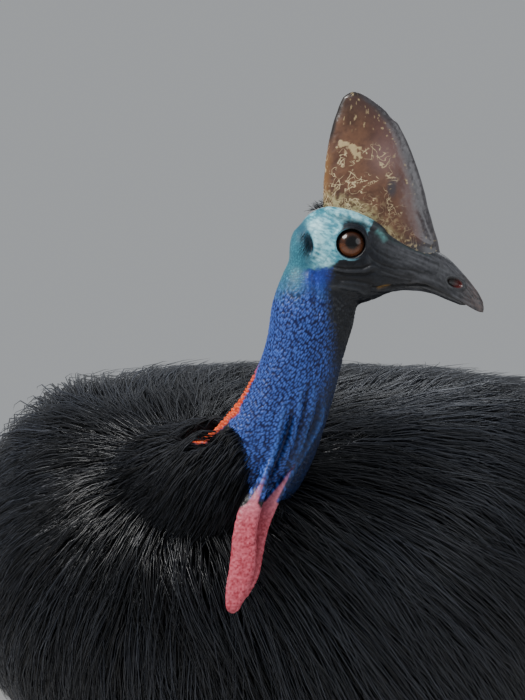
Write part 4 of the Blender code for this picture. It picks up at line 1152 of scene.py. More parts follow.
def face_folds(x, z):
    """The face's folds at points of the side view: their relief, and how far each is ridge or groove."""
    relief, ridge, groove = np.zeros_like(x), np.zeros_like(x), np.zeros_like(x)
    for line, width, height in FACE_FOLDS:
        form = fold(x, z, line, width, height)
        relief += form
        ridge = np.maximum(ridge, form)
        groove = np.maximum(groove, -form)
    return relief, ridge, groove


def horn_streaks(x, y, z):
    """Fine streaks along the bill and the skin behind it, about 0."""
    return cloud(columns((x + 1.8 * z) * 0.17, y * 0.5, (z + 0.42 * x) * 1.6), 2.4, 31, 2) - 0.5


def slate_skin(x, y, z, fine):
    """The slate of bill and lores, with painted highlights on the ridges of its folds and painted shade in
    their grooves.
    """
    lit = clamp(0.42 + fine + 1.5 * horn_streaks(x, y, z))
    slate = blend((0.018, 0.019, 0.023), (0.080, 0.082, 0.094), lit)
    _, ridge, groove = face_folds(x, z)
    # Painted highlights along the folds' ridges, then painted shade in their grooves.
    slate = blend(slate, (0.115, 0.117, 0.135), clamp(ridge) * 0.6)
    return blend(slate, (0.004, 0.004, 0.006), clamp(1.2 * groove) * 0.85)


def on_side(y, one):
    """Whether points lie on the side of a fold: 1 is the bird's left, -1 its right and 0 both."""
    return 1.0 if one == 0 else np.where(y < 2.0, -1, 1) == one


def ear_distance(x, z):
    """How far points of the side view are from the ear's opening, which is taller than it is wide."""
    return np.hypot((x - EAR_X) * 0.98 + z * 0.22, z * 0.36 - (x - EAR_X) * 0.08)


def skin_relief(x, y, z, share, angle):
    """How far the skin stands out in millimetres, and the height and tag of its papillae."""
    outside = np.abs(y) > 8
    relief = 1.6 * face_folds(x, z)[0] * np.where(outside, 1, 0.2) * smoothstep(-95, -70, z)
    for line, width, height, one in NECK_FOLDS:
        relief += fold(x, z, line, width, height, 0.28) * on_side(y, one)
    relief -= 5.0 * np.exp(-((ear_distance(x, z) / 3.4) ** 4)) * outside
    below = smoothstep(-28, -60, z)
    height, tag = pebbles(share, angle, 2.35, 4.3, math.radians(24))
    near, second, _ = cells(columns(x, y, z) / 2.4, 9)
    height = height * below + clamp((second - near) * 1.5) * (1 - below)
    eye = np.hypot(x, z)
    calm = smoothstep(14, 24, eye) * smoothstep(92, 70, x)
    soft = 1 - smoothstep(25, 55, x)
    wattles = smoothstep(-235, -262, z)
    grain = cloud(columns(x, y, z), 1.6, 21, 2) - 0.5
    amount = 0.80 * below + 0.22 * (1 - below) * calm * soft
    relief += amount * (height - 0.5) * (1 - 0.45 * wattles) + 0.5 * wattles * grain + 0.12 * grain * soft
    lid_rings = 0.28 * np.sin(eye * 3.4 + 0.4 * np.sin(3 * np.arctan2(z, x)))
    relief += lid_rings * window(eye, 15.5, 17, 19, 27) * outside
    socket = smoothstep(14.6, 13.2, eye) * outside
    relief = relief * (1 - socket) - 5.5 * socket
    streaked = window(x, 12, 34, 60, 84) * window(z, -56, -44, -12, 16)
    return relief + 0.8 * horn_streaks(x, y, z) * streaked, height, tag


def blend(a, b, share):
    """Colours between a and b, each of them one colour or one for each point."""
    a = np.asarray(a)
    return a + (np.asarray(b) - a) * share[:, None]


# Where the black of the face and throat begins, as x at each height, in millimetres from the eye.
BLACK_EDGE_Z = (-260, -227, -197, -172, -157, -127, -87, -60, -42, -27, -22, -17, -12, 3, 14, 20, 27, 32)
BLACK_EDGE_X = (-70, -62, -50, -40, -30, -19, -20, -25, -25, -20, -18, -14, 6, 15, 17, 20, 27, 40)


def blue_skin(x, z, lit, wander, fine, hairs):
    """The blues: cobalt on the neck, teal above it, pale round the eye and deep below the ear, with the upper
    lid's painted shadow above the eye.
    """
    # Each blue runs by lit from its painted shade to its painted highlight.
    colour = blend((0.003, 0.007, 0.062), (0.060, 0.140, 0.55), lit)
    teal = blend((0.006, 0.045, 0.080), (0.075, 0.32, 0.42), 0.25 + 0.75 * lit)
    pale = blend((0.040, 0.22, 0.30), (0.25, 0.62, 0.72), clamp(0.36 + 1.5 * wander + 3.2 * hairs))
    colour = blend(colour, teal, smoothstep(-62, -26, z + 18 * wander + 5 * fine))
    slant = z + 4 * wander + 5 * fine - 0.12 * (x + 30)
    behind = smoothstep(-47, -41, x + 2 * wander) * smoothstep(-26.5, -20.5, slant)
    top = smoothstep(14, 26, z + 5 * wander) * smoothstep(-58, -40, x)
    colour = blend(colour, pale, clamp(np.maximum(behind, 0.75 * top)))
    brow = fold(x, z, ((-18, 28), (-2, 28), (12, 21), (24, 10)), 6.0, 1.0, 0.1)
    cheek = fold(x, z, ((-34, 16), (-32, 2), (-33, -12), (-24, -18)), 7.0, 0.95, 0)
    bright = clamp(np.maximum(brow, cheek)) * (0.68 + 2.2 * hairs + 0.6 * fine)
    colour = blend(colour, (0.42, 0.78, 0.86), clamp(bright))
    # Painted shadow of the upper lid: dark blue-black above the eye.
    lid_shadow = fold(x, z, ((-11, 16), (-2, 19), (10, 18), (18, 10)), 4.6, 1.25, 0.2)
    colour = blend(colour, (0.010, 0.028, 0.045), clamp(lid_shadow * (1.0 + 1.5 * hairs)))
    shade = fold(x, z, ((-52, 20), (-47, 8), (-44, -6), (-42, -20)), 6.5, 0.72, 0)
    colour = blend(colour, (0.012, 0.075, 0.125), clamp(shade + 0.3 * wander * shade))
    deep = blend((0.012, 0.030, 0.22), (0.035, 0.085, 0.50), lit)
    patch = smoothstep(-54, -38, x + 9 * fine + 8 * wander) * smoothstep(-8, -20, x)
    return blend(colour, deep, patch * smoothstep(-21.5, -27, slant) * smoothstep(-64, -34, z))


def dark_skin(x, y, z, lit, wander, fine):
    """The black of face and throat, which turns to slate at the bill and to dark blue low down, with painted
    highlights on the folds' ridges and painted shade in their grooves.
    """
    ink = blend((0.0025, 0.003, 0.0055), (0.015, 0.019, 0.028), clamp(0.4 + fine + 0.6 * wander))
    _, ridge, groove = face_folds(x, z)
    # Painted highlights along the ridges of the face's folds, then painted shade in their grooves.
    ink = blend(ink, (0.050, 0.054, 0.064), clamp(ridge) * 0.55)
    ink = blend(ink, (0.002, 0.002, 0.003), clamp(groove) * 0.8)
    ink = blend(ink, slate_skin(x, y, z, fine), smoothstep(14, 58, x + 0.4 * z))
    return blend(ink, (0.010, 0.024, 0.090), smoothstep(-90, -150, z) * 0.9 * (0.3 + lit * 0.7))


def darkness(x, z, ring, wander, fine, hairs):
    """Where the skin is black: ahead of an edge down face and throat, and in a ring round the eye, which
    widens above the eye as painted shade under the upper lid.
    """
    edge = np.interp(z, BLACK_EDGE_Z, BLACK_EDGE_X)
    soft = np.interp(z, (-120, -60, -34, -22, -16), (9.0, 9.0, 8.0, 5.0, 2.2))
    black = smoothstep(-1, 1, (x - edge + 5 * wander + 6 * fine + 5 * hairs) / soft) * smoothstep(52, 40, z)
    # The ring's widening above the eye is painted shade under the upper lid.
    brow = 16.2 + 5.0 * clamp(z / np.maximum(ring, 1)) * smoothstep(-16, -2, x)
    return np.maximum(black, smoothstep(brow + 1.6, brow - 1.2, ring + 1.5 * fine))


def neck_fold_colour(colour, x, y, z, lit):
    """The folds of the neck, with painted highlights on their ridges and painted shade in their grooves."""
    ridge, groove = np.zeros_like(x), np.zeros_like(x)
    for line, width, height, one in NECK_FOLDS:
        form = fold(x, z, line, width * 0.9, np.clip(height / 2, -1, 1), 0.2) * on_side(y, one)
        ridge = np.maximum(ridge, form)
        groove = np.maximum(groove, -form)
    # Painted highlights on the ridges, stronger on lit papillae, then painted shade in the grooves.
    colour = blend(colour, (0.050, 0.145, 0.50), clamp(ridge) * 0.55 * (0.3 + lit))
    return blend(colour, (0.003, 0.006, 0.030), clamp(groove) * 0.75)


def pinkness(x, y, z, wander):
    """Where the skin is a wattle's."""
    pink = np.zeros_like(x)
    for stations, first in ((WATTLE_RIGHT, -228), (WATTLE_LEFT, -219)):
        at_x, at_y, at_z = 1000 * np.array(stations)[:, :3].T
        gap, _ = line_distance(x, z, columns(at_x, at_z))
        hang = np.abs(y - np.interp(-z, -at_z, at_y))
        reach = np.interp(-z, (215, 240, 258, 274), (0.6, 1.8, 4.5, 22.0))
        near = smoothstep(reach * 1.25, reach * 0.7, gap) * smoothstep(12, 8, hang)
        pink = np.maximum(pink, near * smoothstep(first, first - 34, z + 10 * wander))
    return pink


def skin_colour(x, y, z, height, tag, bead, share, angle):
    """The skin's colours by place, as linear light."""
    place = columns(x, y, z)
    outside = np.abs(y) > 8
    wander = cloud(place, 9.0, 40) - 0.5
    fine = cloud(place, 2.0, 44, 2) - 0.5
    hairs = cloud(columns((x - 0.5 * z) * 0.35, y * 0.5, z + 0.5 * x), 1.7, 47, 3) - 0.5
    # lit: painted highlights on the tops of the papillae and painted shade between them, mixed with tone that
    # differs at random.
    lit = clamp(0.02 + 0.85 * height + 0.55 * (tag - 0.5) * height + 0.45 * wander) ** 1.2
    ring = np.hypot(x - 1.0, z + 0.5)
    colour = blue_skin(x, z, lit, wander, fine, hairs)
    ink = dark_skin(x, y, z, lit, wander, fine)
    colour = blend(colour, ink, darkness(x, z, ring, wander, fine, hairs))
    colour = neck_fold_colour(colour, x, y, z, lit)
    hint = fold(x, z, ((25, 15), (31, 9), (36, 1)), 3.0, 0.75)
    colour = blend(colour, (0.12, 0.36, 0.36), clamp(hint * (0.6 + fine)))
    rim = window(ring, 14.6, 15.4, 16.2, 16.9) * outside * smoothstep(6, -9, x + 0.35 * z)
    colour = blend(colour, (0.15, 0.36, 0.45), rim * 0.85)
    # Painted shade in the sunken socket round the eyeball.
    colour = blend(colour, (0.006, 0.007, 0.010), smoothstep(14.8, 13.8, ring) * outside)
    ear = ear_distance(x, z)
    # Painted shade in the ear's hollow: darker teal round it and near black in its opening.
    colour = blend(colour, (0.012, 0.07, 0.13), np.exp(-((ear / 5.0) ** 4)) * 0.7)
    colour = blend(colour, (0.004, 0.012, 0.024), np.exp(-((ear / 3.5) ** 4)) * 0.95)
    foot, _ = line_distance(x, z, SKIN_LINE)
    seam = 0.85 * np.exp(-((foot / 1.6) ** 2)) * (0.6 + fine) * (x > -26)
    colour = blend(colour, (0.020, 0.040, 0.042), seam)
    gape = fold(x, z, ((25, -45.5), (31, -43.5), (37, -42.3), (42, -42)), 1.15, 1.0, 0.45)
    colour = blend(colour, (0.50, 0.26, 0.03), clamp(gape * (0.95 + fine)) * 0.8)
    orange = blend((0.36, 0.018, 0.006), (0.86, 0.12, 0.025), smoothstep(0.10, 0.60, bead))
    stripe = nape_stripe(share, angle, wander)
    colour = blend(colour, orange, stripe)
    # Skin under the velvet is painted near black, as the shade beneath it, except along the stripe.
    inside = 1000 * np.interp(z / 1000, VELVET_EDGE_Z, VELVET_EDGE_X) - x
    covered = smoothstep(3.0, 8.0, inside) * smoothstep(-160, -172, z)
    colour = blend(colour, (0.004, 0.004, 0.005), covered * (1 - stripe))
    mottle = clamp(0.22 + 1.9 * (cloud(place, 1.7, 51, 3) - 0.35))
    flesh = blend((0.30, 0.020, 0.036), (0.66, 0.15, 0.20), mottle)
    flesh = blend(flesh, (0.66, 0.25, 0.33), smoothstep(-285, -245, z) * 0.55)
    return blend(colour, flesh, pinkness(x, y, z, wander))


def neck_place(x, y, z):
    """The share of the neck's length, and the angle round it, of points in millimetres from the eye."""
    points = columns(x, y, z) / 1000
    centres = NECK_ROWS[:, :3]
    nearest = np.empty(len(points), int)
    for start in range(0, len(points), PLACES_AT_ONCE):
        rows = slice(start, start + PLACES_AT_ONCE)
        nearest[rows] = np.linalg.norm(points[rows, None] - centres[None], axis=-1).argmin(1)
    row = NECK_ROWS[nearest]
    direction = unit(np.gradient(centres, axis=0))[nearest]
    forward = unit(np.array((1.0, 0.0, 0.0)) - direction * direction[:, :1])
    side = np.cross(direction, forward)
    gap = points - row[:, :3]
    angle = np.arctan2((gap * side).sum(-1) / row[:, 4], (gap * forward).sum(-1) / row[:, 3])
    step = np.linalg.norm(centres[1] - centres[0])
    shares = np.linspace(0, 1, len(NECK_ROWS))
    return shares[nearest] + (gap * direction).sum(-1) / step / (len(shares) - 1), angle


# How many points neck_place looks at together, to keep its memory small.
PLACES_AT_ONCE = 20000
# How far the strip turns from the nape to the upper side, as an angle at shares of the neck's length.
STRIPE_TURN = ((0.52, 0.80, 0.92), (0.0, 0.80, 1.05))


def nape_stripe(share, angle, wander):
    """The bare red strip along the back of the lower neck, which narrows to its end."""
    half = np.interp(share, (0.36, 0.50, 0.70, 0.84, 0.93), (0.14, 0.34, 0.30, 0.16, 0.0))
    half = half * (1 + 0.9 * wander)
    turn = np.interp(share, *STRIPE_TURN)
    off = np.abs((angle - turn) % (2 * np.pi) - np.pi)
    return smoothstep(half * 1.15, half * 0.85, off) * smoothstep(0.34, 0.42, share) * (half > 0.06)


def dress_skin(obj):
    """Raises the folds and papillae of the skin, and gives it its colours."""
    x, y, z = head_mm(vertices(obj))
    share, angle = neck_place(x, y, z)
    relief, height, tag = skin_relief(x, y, z, share, angle)
    near, second, _ = cells(columns(x, y, z) / 3.4, 8)
    bead = clamp((second - near) * 1.5)
    stripe = nape_stripe(share, angle, 0)
    relief += stripe * (1.9 * smoothstep(0, 0.8, bead) - 0.2)
    set_vertices(obj, raised(obj, relief))
    set_tint(obj, skin_colour(x, y, z, height, tag, bead, share, angle))


def tinted_material(name, roughness, **sockets):
    """A material that takes its colour from the vertices."""
    material = plain_material(name, (0.5, 0.5, 0.5), roughness, **sockets)
    tree, shader = node_tree(material)
    attribute = tree.nodes.new("ShaderNodeAttribute")
    attribute.attribute_name = "tint"
    tree.links.new(attribute.outputs["Color"], shader.inputs["Base Color"])
    return material


def set_inputs(tree, node, inputs):
    """Gives each input a value, or a link from the output of another node."""
    for key, value in inputs.items():
        if isinstance(value, bpy.types.NodeSocket):
            tree.links.new(value, node.inputs[key])
        else:
            node.inputs[key].default_value = value


def math_node(tree, operation, *values):
    node = tree.nodes.new("ShaderNodeMath")
    node.operation = operation
    set_inputs(tree, node, dict(enumerate(values)))
    return node.outputs["Value"]


def thin_lines(tree, place, scale, thin):
    """1 on the lines where soft noise crosses its middle, and 0 away from them."""
    soft = tree.nodes.new("ShaderNodeTexNoise")
    set_inputs(tree, soft, {"Vector": place, "Scale": scale, "Detail": 1.5, "Distortion": 0.6})
    away = math_node(tree, "SUBTRACT", soft.outputs["Fac"], 0.5)
    line = tree.nodes.new("ShaderNodeMapRange")
    set_inputs(tree, line, {"Value": math_node(tree, "ABSOLUTE", away), "From Min": 0.3 * thin,
                            "From Max": thin, "To Min": 1.0, "To Max": 0.0})
    return line.outputs["Result"]


def casque_material():
    """Tinted horn with thin, pale scratches where it is worn."""
    material = tinted_material("casque", 0.30, Coat_Weight=0.35, Coat_Roughness=0.16)
    tree, shader = node_tree(material)
    tint = shader.inputs["Base Color"].links[0].from_socket
    place = tree.nodes.new("ShaderNodeTexCoord").outputs["Object"]
    worn = tree.nodes.new("ShaderNodeAttribute")
    worn.attribute_name = "worn"
    scratches = math_node(tree, "MAXIMUM", thin_lines(tree, place, 70.0, 0.016),
                          thin_lines(tree, place, 105.0, 0.020))
    mix = tree.nodes.new("ShaderNodeMix")
    mix.data_type = "RGBA"
    set_inputs(tree, mix, {"Factor": math_node(tree, "MULTIPLY", scratches, worn.outputs["Fac"]),
                           "A": tint, "B": (0.52, 0.42, 0.25, 1)})
    tree.links.new(mix.outputs["Result"], shader.inputs["Base Color"])
    return material


def bill_rows(edges):
    """Rows of one half of the bill, the first hidden in the face."""
    first = (0.050, 0.0130, edges[0] * 0.9 - 0.004, BILL_MOUTH[0])
    return [first, *zip(BILL_X, BILL_HALF_WIDTH, edges, BILL_MOUTH)]


def bill_half(name, rows, tip, widen, lift):
    """One half of the bill, from its mouth line up (lift 1) or down (lift -1) to its edge."""
    rows = np.array(rows)
    rows[:, 3] += 0.0009 * (lift < 0)
    stations = np.linspace(0, 1, 130)
    keys = np.linspace(0, 1, len(rows))
    x, half, edge, mouth = (smooth_between(stations, keys, rows[:, k])[:, None] for k in range(4))
    angle = np.linspace(0, np.pi, 65)[None, :]
    y = half * widen * signed_power(np.cos(angle), 0.8)
    z = mouth + lift * (np.abs(edge - mouth) * np.sin(angle) ** 0.9 + 0.00015)
    rings = columns(x, y, z)
    last = np.array(tip)
    ends = [last + (rings[-1] - last) * w for w in (0.75, 0.5, 0.25)]
    return loft(name, from_head(np.concatenate([rings, ends])))


BILL_X = (0.066, 0.082, 0.096, 0.110, 0.122, 0.1295, 0.1332)
BILL_TOP = (-0.001, -0.006, -0.0135, -0.027, -0.041, -0.0515, -0.0590)
BILL_MOUTH = (-0.0405, -0.0440, -0.0510, -0.0582, -0.0655, -0.0690, -0.0695)
BILL_BOTTOM = (-0.0475, -0.0505, -0.0562, -0.0618, -0.0680, -0.0700, -0.0705)
BILL_HALF_WIDTH = (0.0185, 0.0160, 0.0135, 0.0105, 0.0078, 0.0056, 0.0036)
BILL_TIP = (0.1342, 0.0, -0.0655)
LOWER_TIP = (0.1175, 0.0, -0.0625)

CASQUE_Z = (-0.0135, 0.000, 0.016, 0.034, 0.052, 0.075, 0.100, 0.120, 0.135, 0.145)
CASQUE_REAR = (0.045, 0.004, -0.018, -0.0270, -0.0268, -0.0252, -0.0215, -0.0168, -0.0118, -0.0072)
CASQUE_FRONT = (0.0905, 0.0882, 0.0835, 0.0785, 0.0740, 0.0672, 0.0575, 0.0462, 0.0320, 0.0185)
CASQUE_HALF_THICKNESS = (0.0130, 0.0160, 0.0185, 0.0190, 0.0170, 0.0140, 0.0110, 0.0085, 0.0065, 0.0050)
CASQUE_TOP = (0.0045, 0.0, 0.1510)


def make_casque():
    """The casque as rings up its height, with a narrow front keel and a blunt top."""
    z = np.linspace(CASQUE_Z[0], CASQUE_Z[-1], 190)[:, None]
    rear, front, half = (
        smooth_between(z, CASQUE_Z, v) for v in (CASQUE_REAR, CASQUE_FRONT, CASQUE_HALF_THICKNESS))
    angle = around(220)
    along = np.cos(angle)
    x = (rear + front) / 2 + (front - rear) / 2 * along
    keel = np.where(along > 0, 0.75, 0.9)
    y = half * signed_power(np.sin(angle), keel) * (1 - 0.35 * np.maximum(along, 0) ** 2)
    rings = columns(x, y, z)
    top = np.array(CASQUE_TOP)
    ends = []
    for w in (0.9, 0.7, 0.45, 0.2):
        ring = top + (rings[-1] - top) * w
        ring[:, 2] = top[2] + (rings[-1][:, 2] - top[2]) * w**2.0
        ends.append(ring)
    return loft("casque_horn", from_head(np.concatenate([rings, np.array(ends)])))


def make_eye(side):
    """An eyeball, as rings round the line that looks out sideways."""
    polar = np.linspace(0.001, np.pi, 60)[:-1][:, None]
    angle = around(72)
    rings = columns(
        EYE_RADIUS * np.sin(polar) * np.cos(angle),
        side * (EYE_DEPTH + EYE_RADIUS * np.cos(polar)),
        EYE_RADIUS * np.sin(polar) * np.sin(angle),
    )
    return loft("eye_ball_" + SIDES[side], from_head(rings))


# The hidden stub of the wing that the quills grow from: its root and tip, as (u, angle) on the torso.
WING_ROOT = np.array((0.43, 0.34))
WING_TIP = np.array((0.535, 0.16))


def flank(u, angle, side, out):
    return torso(u, angle if side > 0 else math.pi - angle, out)


def quills(side):
    """Five stiff, bare quills that bend back and down from the hidden stub of a wing."""
    parts = []
    for k in range(5):
        spread = k / 4
        root = WING_ROOT + (WING_TIP - WING_ROOT) * (0.45 + 0.45 * spread)
        length = 0.13 + 0.05 * math.sin(math.pi * (0.25 + 0.6 * spread))
        drop = 0.62 - 0.26 * spread
        t = np.linspace(0, 1, 40)
        path = flank(root[0] + length * (0.75 * t + 0.25 * t * t), root[1] - drop * t**1.5, side,
                     0.008 + 0.034 * np.minimum(1.0, 2.4 * t) - 0.010 * t * t)
        ways = unit(np.gradient(path, axis=0))
        across = unit(np.cross(ways, HEAD_UP))
        other = np.cross(ways, across)
        radius = (0.0031 * (1 - 0.72 * t**1.5))[:, None, None]
        turn = around(12)[0]
        rings = path[:, None] + radius * (across[:, None] * np.cos(turn)[None, :, None]
                                          + other[:, None] * np.sin(turn)[None, :, None])
        parts.append(loft("quill", rings))
    return join(parts, "quills_" + SIDES[side])


def dress_leg(obj):
    """Scales, larger on the shank than on the toes and flat in front of it, grey-brown and dusty."""
    mm = vertices(obj) * 1000
    height = mm[:, 2]
    near, second, tag = cells(mm / 4.6, 201)
    small_near, small_second, _ = cells(mm / 2.6, 203)
    low = smoothstep(60, 40, height)
    front = smoothstep(-0.2, -0.7, normals(obj)[:, 1]) * (1 - low)
    scale = clamp((second - near) * 2.2) * (1 - low) + clamp((small_second - small_near) * 2.0) * low
    relief = 0.75 * scale * (1 - front) + 0.35 * (cloud(mm, 7.0, 205) - 0.5)
    lit = clamp(0.15 + 0.55 * scale + 0.5 * (tag - 0.5) + 0.5 * front)
    colour = blend((0.030, 0.028, 0.024), (0.135, 0.125, 0.098), lit)
    colour = blend(colour, (0.075, 0.060, 0.040), smoothstep(0.45, 0.75, cloud(mm, 16.0, 207)) * 0.6)
    colour = blend(colour, (0.055, 0.050, 0.042), smoothstep(14, 0, height) * 0.7)
    skin = raised(obj, relief)
    skin[:, 2] = np.maximum(skin[:, 2], 0.0)
    set_vertices(obj, skin)
    set_tint(obj, colour)


# The photo's view: how far it is turned round the bird and down, its distance and half its height.
CAMERA_TURN = math.radians(20)
CAMERA_PITCH = math.radians(3)
CAMERA_DISTANCE = 3.2
CAMERA_HALF_HEIGHT = 0.35
HEAD_RIGHT_OF_MIDDLE = 0.0875
HEAD_ABOVE_MIDDLE = 0.107


def camera():
    """A camera with the photo's view of head and shoulders."""
    right = np.array((math.cos(CAMERA_TURN), math.sin(CAMERA_TURN), 0.0))
    ahead = np.array((-math.sin(CAMERA_TURN), math.cos(CAMERA_TURN), 0.0))
    view = ahead * math.cos(CAMERA_PITCH) - HEAD_UP * math.sin(CAMERA_PITCH)
    up = HEAD_UP * math.cos(CAMERA_PITCH) + ahead * math.sin(CAMERA_PITCH)
    middle_point = HEAD_CENTRE - right * HEAD_RIGHT_OF_MIDDLE - up * HEAD_ABOVE_MIDDLE
    data = bpy.data.cameras.new("camera")
    data.sensor_fit = "VERTICAL"
    data.angle = 2 * math.atan(CAMERA_HALF_HEIGHT / CAMERA_DISTANCE)
    obj = bpy.data.objects.new("camera", data)
    bpy.context.scene.collection.objects.link(obj)
    place = Matrix(np.column_stack([right, up, -view]).tolist()).to_4x4()
    place.translation = Vector(middle_point - view * CAMERA_DISTANCE)
    obj.matrix_world = place
    bpy.context.scene.camera = obj


def light(name, place, target, size, power, colour):
    """A round area light at a place, turned to its target."""
    data = bpy.data.lights.new(name, "AREA")
    data.shape = "DISK"
    data.size = size
    data.energy = power
    data.color = colour
    obj = bpy.data.objects.new(name, data)
    obj.location = place
    obj.rotation_euler = (Vector(target) - Vector(place)).to_track_quat("-Z", "Y").to_euler()
    bpy.context.scene.collection.objects.link(obj)


def studio():
    """A plain floor, three soft lights and a pale sky."""
    mesh = new_mesh("floor", [(-6, -6, 0), (6, -6, 0), (6, 6, 0), (-6, 6, 0)], [(0, 1, 2, 3)])
    mesh.data.materials.append(plain_material("floor", (0.62, 0.61, 0.59), 0.7))
    light("key", (-1.3, -2.2, 3.5), (0.1, -0.2, 0.95), 1.7, 150, (1.0, 0.985, 0.96))
    light("fill", (3.2, -1.2, 1.9), (0.1, -0.2, 0.9), 2.2, 20, (0.92, 0.96, 1.0))
    light("rim", (0.6, 1.6, 3.4), (0.0, 0.0, 0.9), 1.8, 30, (0.93, 0.96, 1.0))
    world = bpy.data.worlds.new("world")
    bpy.context.scene.world = world
    world.use_nodes = True
    background = world.node_tree.nodes["Background"]
    background.inputs["Color"].default_value = (0.80, 0.83, 0.86, 1)
    background.inputs["Strength"].default_value = 0.46


def shank_skin(side):
    """The shank, with a row of overlapping plates down its front."""
    top, bottom = leg_point(ANKLE, side), leg_point(FOOT, side)
    thigh_axis = unit(top - leg_point(HIP, side, 0.0))
    axis = unit(bottom - top)
    rows = []
    for back, radius in ((0.045, 0.030), (0.020, 0.0375)):
        rows.append((top - thigh_axis * back, radius, 0.0, thigh_axis))
    for i in range(SCUTES * 6):
        share = (i + 0.5) / (SCUTES * 6)
        within = (share * SCUTES) % 1.0
        radius = float(smooth_between(share, np.linspace(0, 1, len(SHANK_RADII)), SHANK_RADII))
        step = 0.0016 * within - 0.0012 * (within < 0.12)
        rows.append((top + (bottom - top) * share, radius - 0.0006, step, axis))
    rows.append((bottom + axis * 0.020, 0.031, 0.0, axis))
    rings = []
    for centre, radius, step, direction in rows:
        forward = np.array((0.0, -1.0, 0.0))
        forward = unit(forward - direction * forward.dot(direction))
        across = np.cross(direction, forward)
        turn = around(48)[0]
        front = np.maximum(np.sin(turn), 0) ** 0.5
        rings.append(centre + across * ((radius * 0.86) * signed_power(np.cos(turn), 0.95))[:, None]
                     + forward * ((radius + step * front) * signed_power(np.sin(turn), 0.95))[:, None])
    return loft("shank", np.array(rings))


# For each toe its angle from straight ahead, the reach and radius of its pads, and its claw's length.
TOES = {
    "inner": (-27.0, (0.034, 0.068, 0.094), (0.0225, 0.0210, 0.0180), 0.105),
    "middle": (0.0, (0.038, 0.086, 0.136, 0.172), (0.0255, 0.0235, 0.0215, 0.0180), 0.045),
    "outer": (30.0, (0.034, 0.075, 0.115), (0.0225, 0.0205, 0.0170), 0.038),
}


def toe_frame(side, label):
    angle, reaches, radii, claw = TOES[label]
    turn = math.radians(angle) * side
    direction = np.array((math.sin(turn), -math.cos(turn), 0.0))
    across = np.array((-direction[1], direction[0], 0.0))
    start = leg_point(FOOT, side)
    start[2] = 0.0
    return start, direction, across, reaches, radii, claw


def toe_skin(side, label):
    """One toe with its pads, and with plates along its top."""
    start, direction, across, reaches, radii, _ = toe_frame(side, label)
    keys, sizes = [0.004], [radii[0] * 1.02]
    for i, reach in enumerate(reaches):
        if i:
            keys.append((reach + reaches[i - 1]) / 2)
            sizes.append((radii[i] + radii[i - 1]) / 2 * 0.88)
        keys.append(reach)
        sizes.append(radii[i])
    x = np.linspace(keys[0], keys[-1], 70)[:, None]
    radius = smooth_between(x, keys, sizes) * (1 - 0.35 * smoothstep(keys[-1] - 0.008, keys[-1], x) ** 2)
    plate = 0.0010 * ((x / 0.0085) % 1.0)
    turn = around(40)
    y = radius * 0.86 * signed_power(np.cos(turn), 0.91)
    z = radius * 0.95 + (radius + plate * np.maximum(np.sin(turn), 0)) * signed_power(np.sin(turn), 0.91)
    z = np.maximum(z, 0.0)
    rings = start + x[..., None] * direction + y[..., None] * across + z[..., None] * HEAD_UP
    return loft("toe", rings)


def claw(side, label):
    """One claw, which tapers forward and down to a point."""
    start, direction, _, reaches, radii, length = toe_frame(side, label)
    start = start + direction * (reaches[-1] - 0.010)
    base = radii[-1] * 0.80
    across = np.array((-direction[1], direction[0], 0.0))
    share = np.linspace(0, 0.995, 40)[:, None]
    size = base * (1 - share) ** 0.75 + 0.0008
    height = np.maximum(base * 1.05 - (base * 1.05 - 0.0035) * share**1.6, size * 1.02)
    turn = around(28)
    rings = (start + (direction * (length + 0.009) * share)[:, None]
             + (height[..., None] * HEAD_UP)
             + (size * 0.72 * np.cos(turn))[..., None] * across + (size * np.sin(turn))[..., None] * HEAD_UP)
    return loft(f"claw_horn_{label}_" + SIDES[side], rings)


def leg_skin(side):
    """Foot, shank and toes of one leg as one skin."""
    start = leg_point(FOOT, side)
    turn = around(48)[0]
    rings = []
    for z, size in zip((0.001, 0.004, 0.014, 0.026, 0.036), (0.025, 0.030, 0.033, 0.032, 0.027)):
        centre = np.array((start[0], start[1] + 0.004, z))
        rings.append(centre + columns(size * 0.95 * np.cos(turn), size * np.sin(turn), 0 * turn))
    parts = [loft("foot", np.array(rings)), shank_skin(side)]
    parts += [toe_skin(side, label) for label in TOES]
    whole = join(parts, "leg_skin_" + SIDES[side])
    return remesh(whole, LEG_VOXEL, 2)


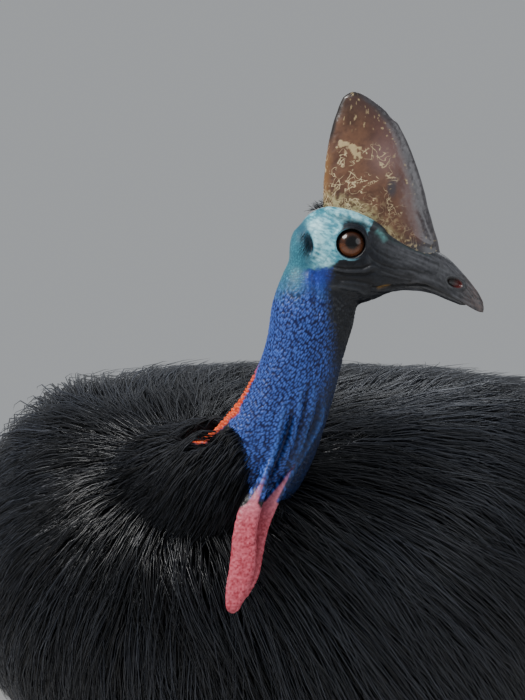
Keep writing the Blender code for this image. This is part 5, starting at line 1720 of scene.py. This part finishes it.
def make_skin():
    """One skin for head, neck, wattles and body, in place of the solids' flesh."""
    body = join([torso_skin(), thigh_skin(1), thigh_skin(-1)], "body_skin")
    head = head_skin()
    dress_skin(head)
    # The body's skin is painted near black, as the shade deep in the coat.
    set_tint(body, np.full((len(body.data.vertices), 3), UNDER_COAT))
    skin = join([head, body], "skin")
    finish(skin, tinted_material("skin", 0.42, Specular_IOR_Level=0.36))
    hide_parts("head", "neck_upper", "neck_lower", "neck_base", "torso", "tail",
                "thigh_left", "thigh_right", "wattle_left", "wattle_right")


def make_horn():
    """The casque and the two halves of the bill."""
    casque = make_casque()
    dress_casque(casque)
    finish(casque, casque_material())
    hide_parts("casque")
    upper = bill_half("bill_upper_horn", bill_rows(BILL_TOP), BILL_TIP, 1.0, 1)
    lower = bill_half("bill_lower_horn", bill_rows(BILL_BOTTOM)[:-3], LOWER_TIP, 0.86, -1)
    bill = tinted_material("bill", 0.36)
    for obj, node in ((upper, "bill_upper"), (lower, "bill_lower")):
        dress_bill(obj)
        finish(obj, bill)
        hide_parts(node)


def make_pairs():
    """The quills, eyes, legs and claws of both sides."""
    horn = plain_material("claw", (0.02, 0.02, 0.022), 0.35)
    eye = tinted_material("eye", 0.25, Specular_IOR_Level=0.15, Coat_Weight=0.65, Coat_Roughness=0.02)
    scales = tinted_material("scales", 0.5)
    quill_horn = plain_material("quill", (0.012, 0.011, 0.012), 0.28)
    for side, label in SIDES.items():
        quill = finish(quills(side), quill_horn)
        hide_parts("wing_" + label)
        ball = make_eye(side)
        dress_eye(ball)
        finish(ball, eye)
        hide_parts("eye_" + label)
        leg = leg_skin(side)
        dress_leg(leg)
        finish(leg, scales)
        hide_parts("shank_" + label, "foot_" + label, *(f"toe_{t}_{label}" for t in TOES))
        for t in TOES:
            horn_piece = finish(claw(side, t), horn)
            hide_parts(f"claw_{t}_{label}")


camera()
studio()
make_skin()
make_horn()
make_pairs()
barbs = coat_material("coat", 0.34, 0.60)
velvet = coat_material("velvet", 0.58, 0.28)
make_coat(barbs)
make_thigh_coat(barbs)
make_velvet(velvet)
make_bristles(velvet)
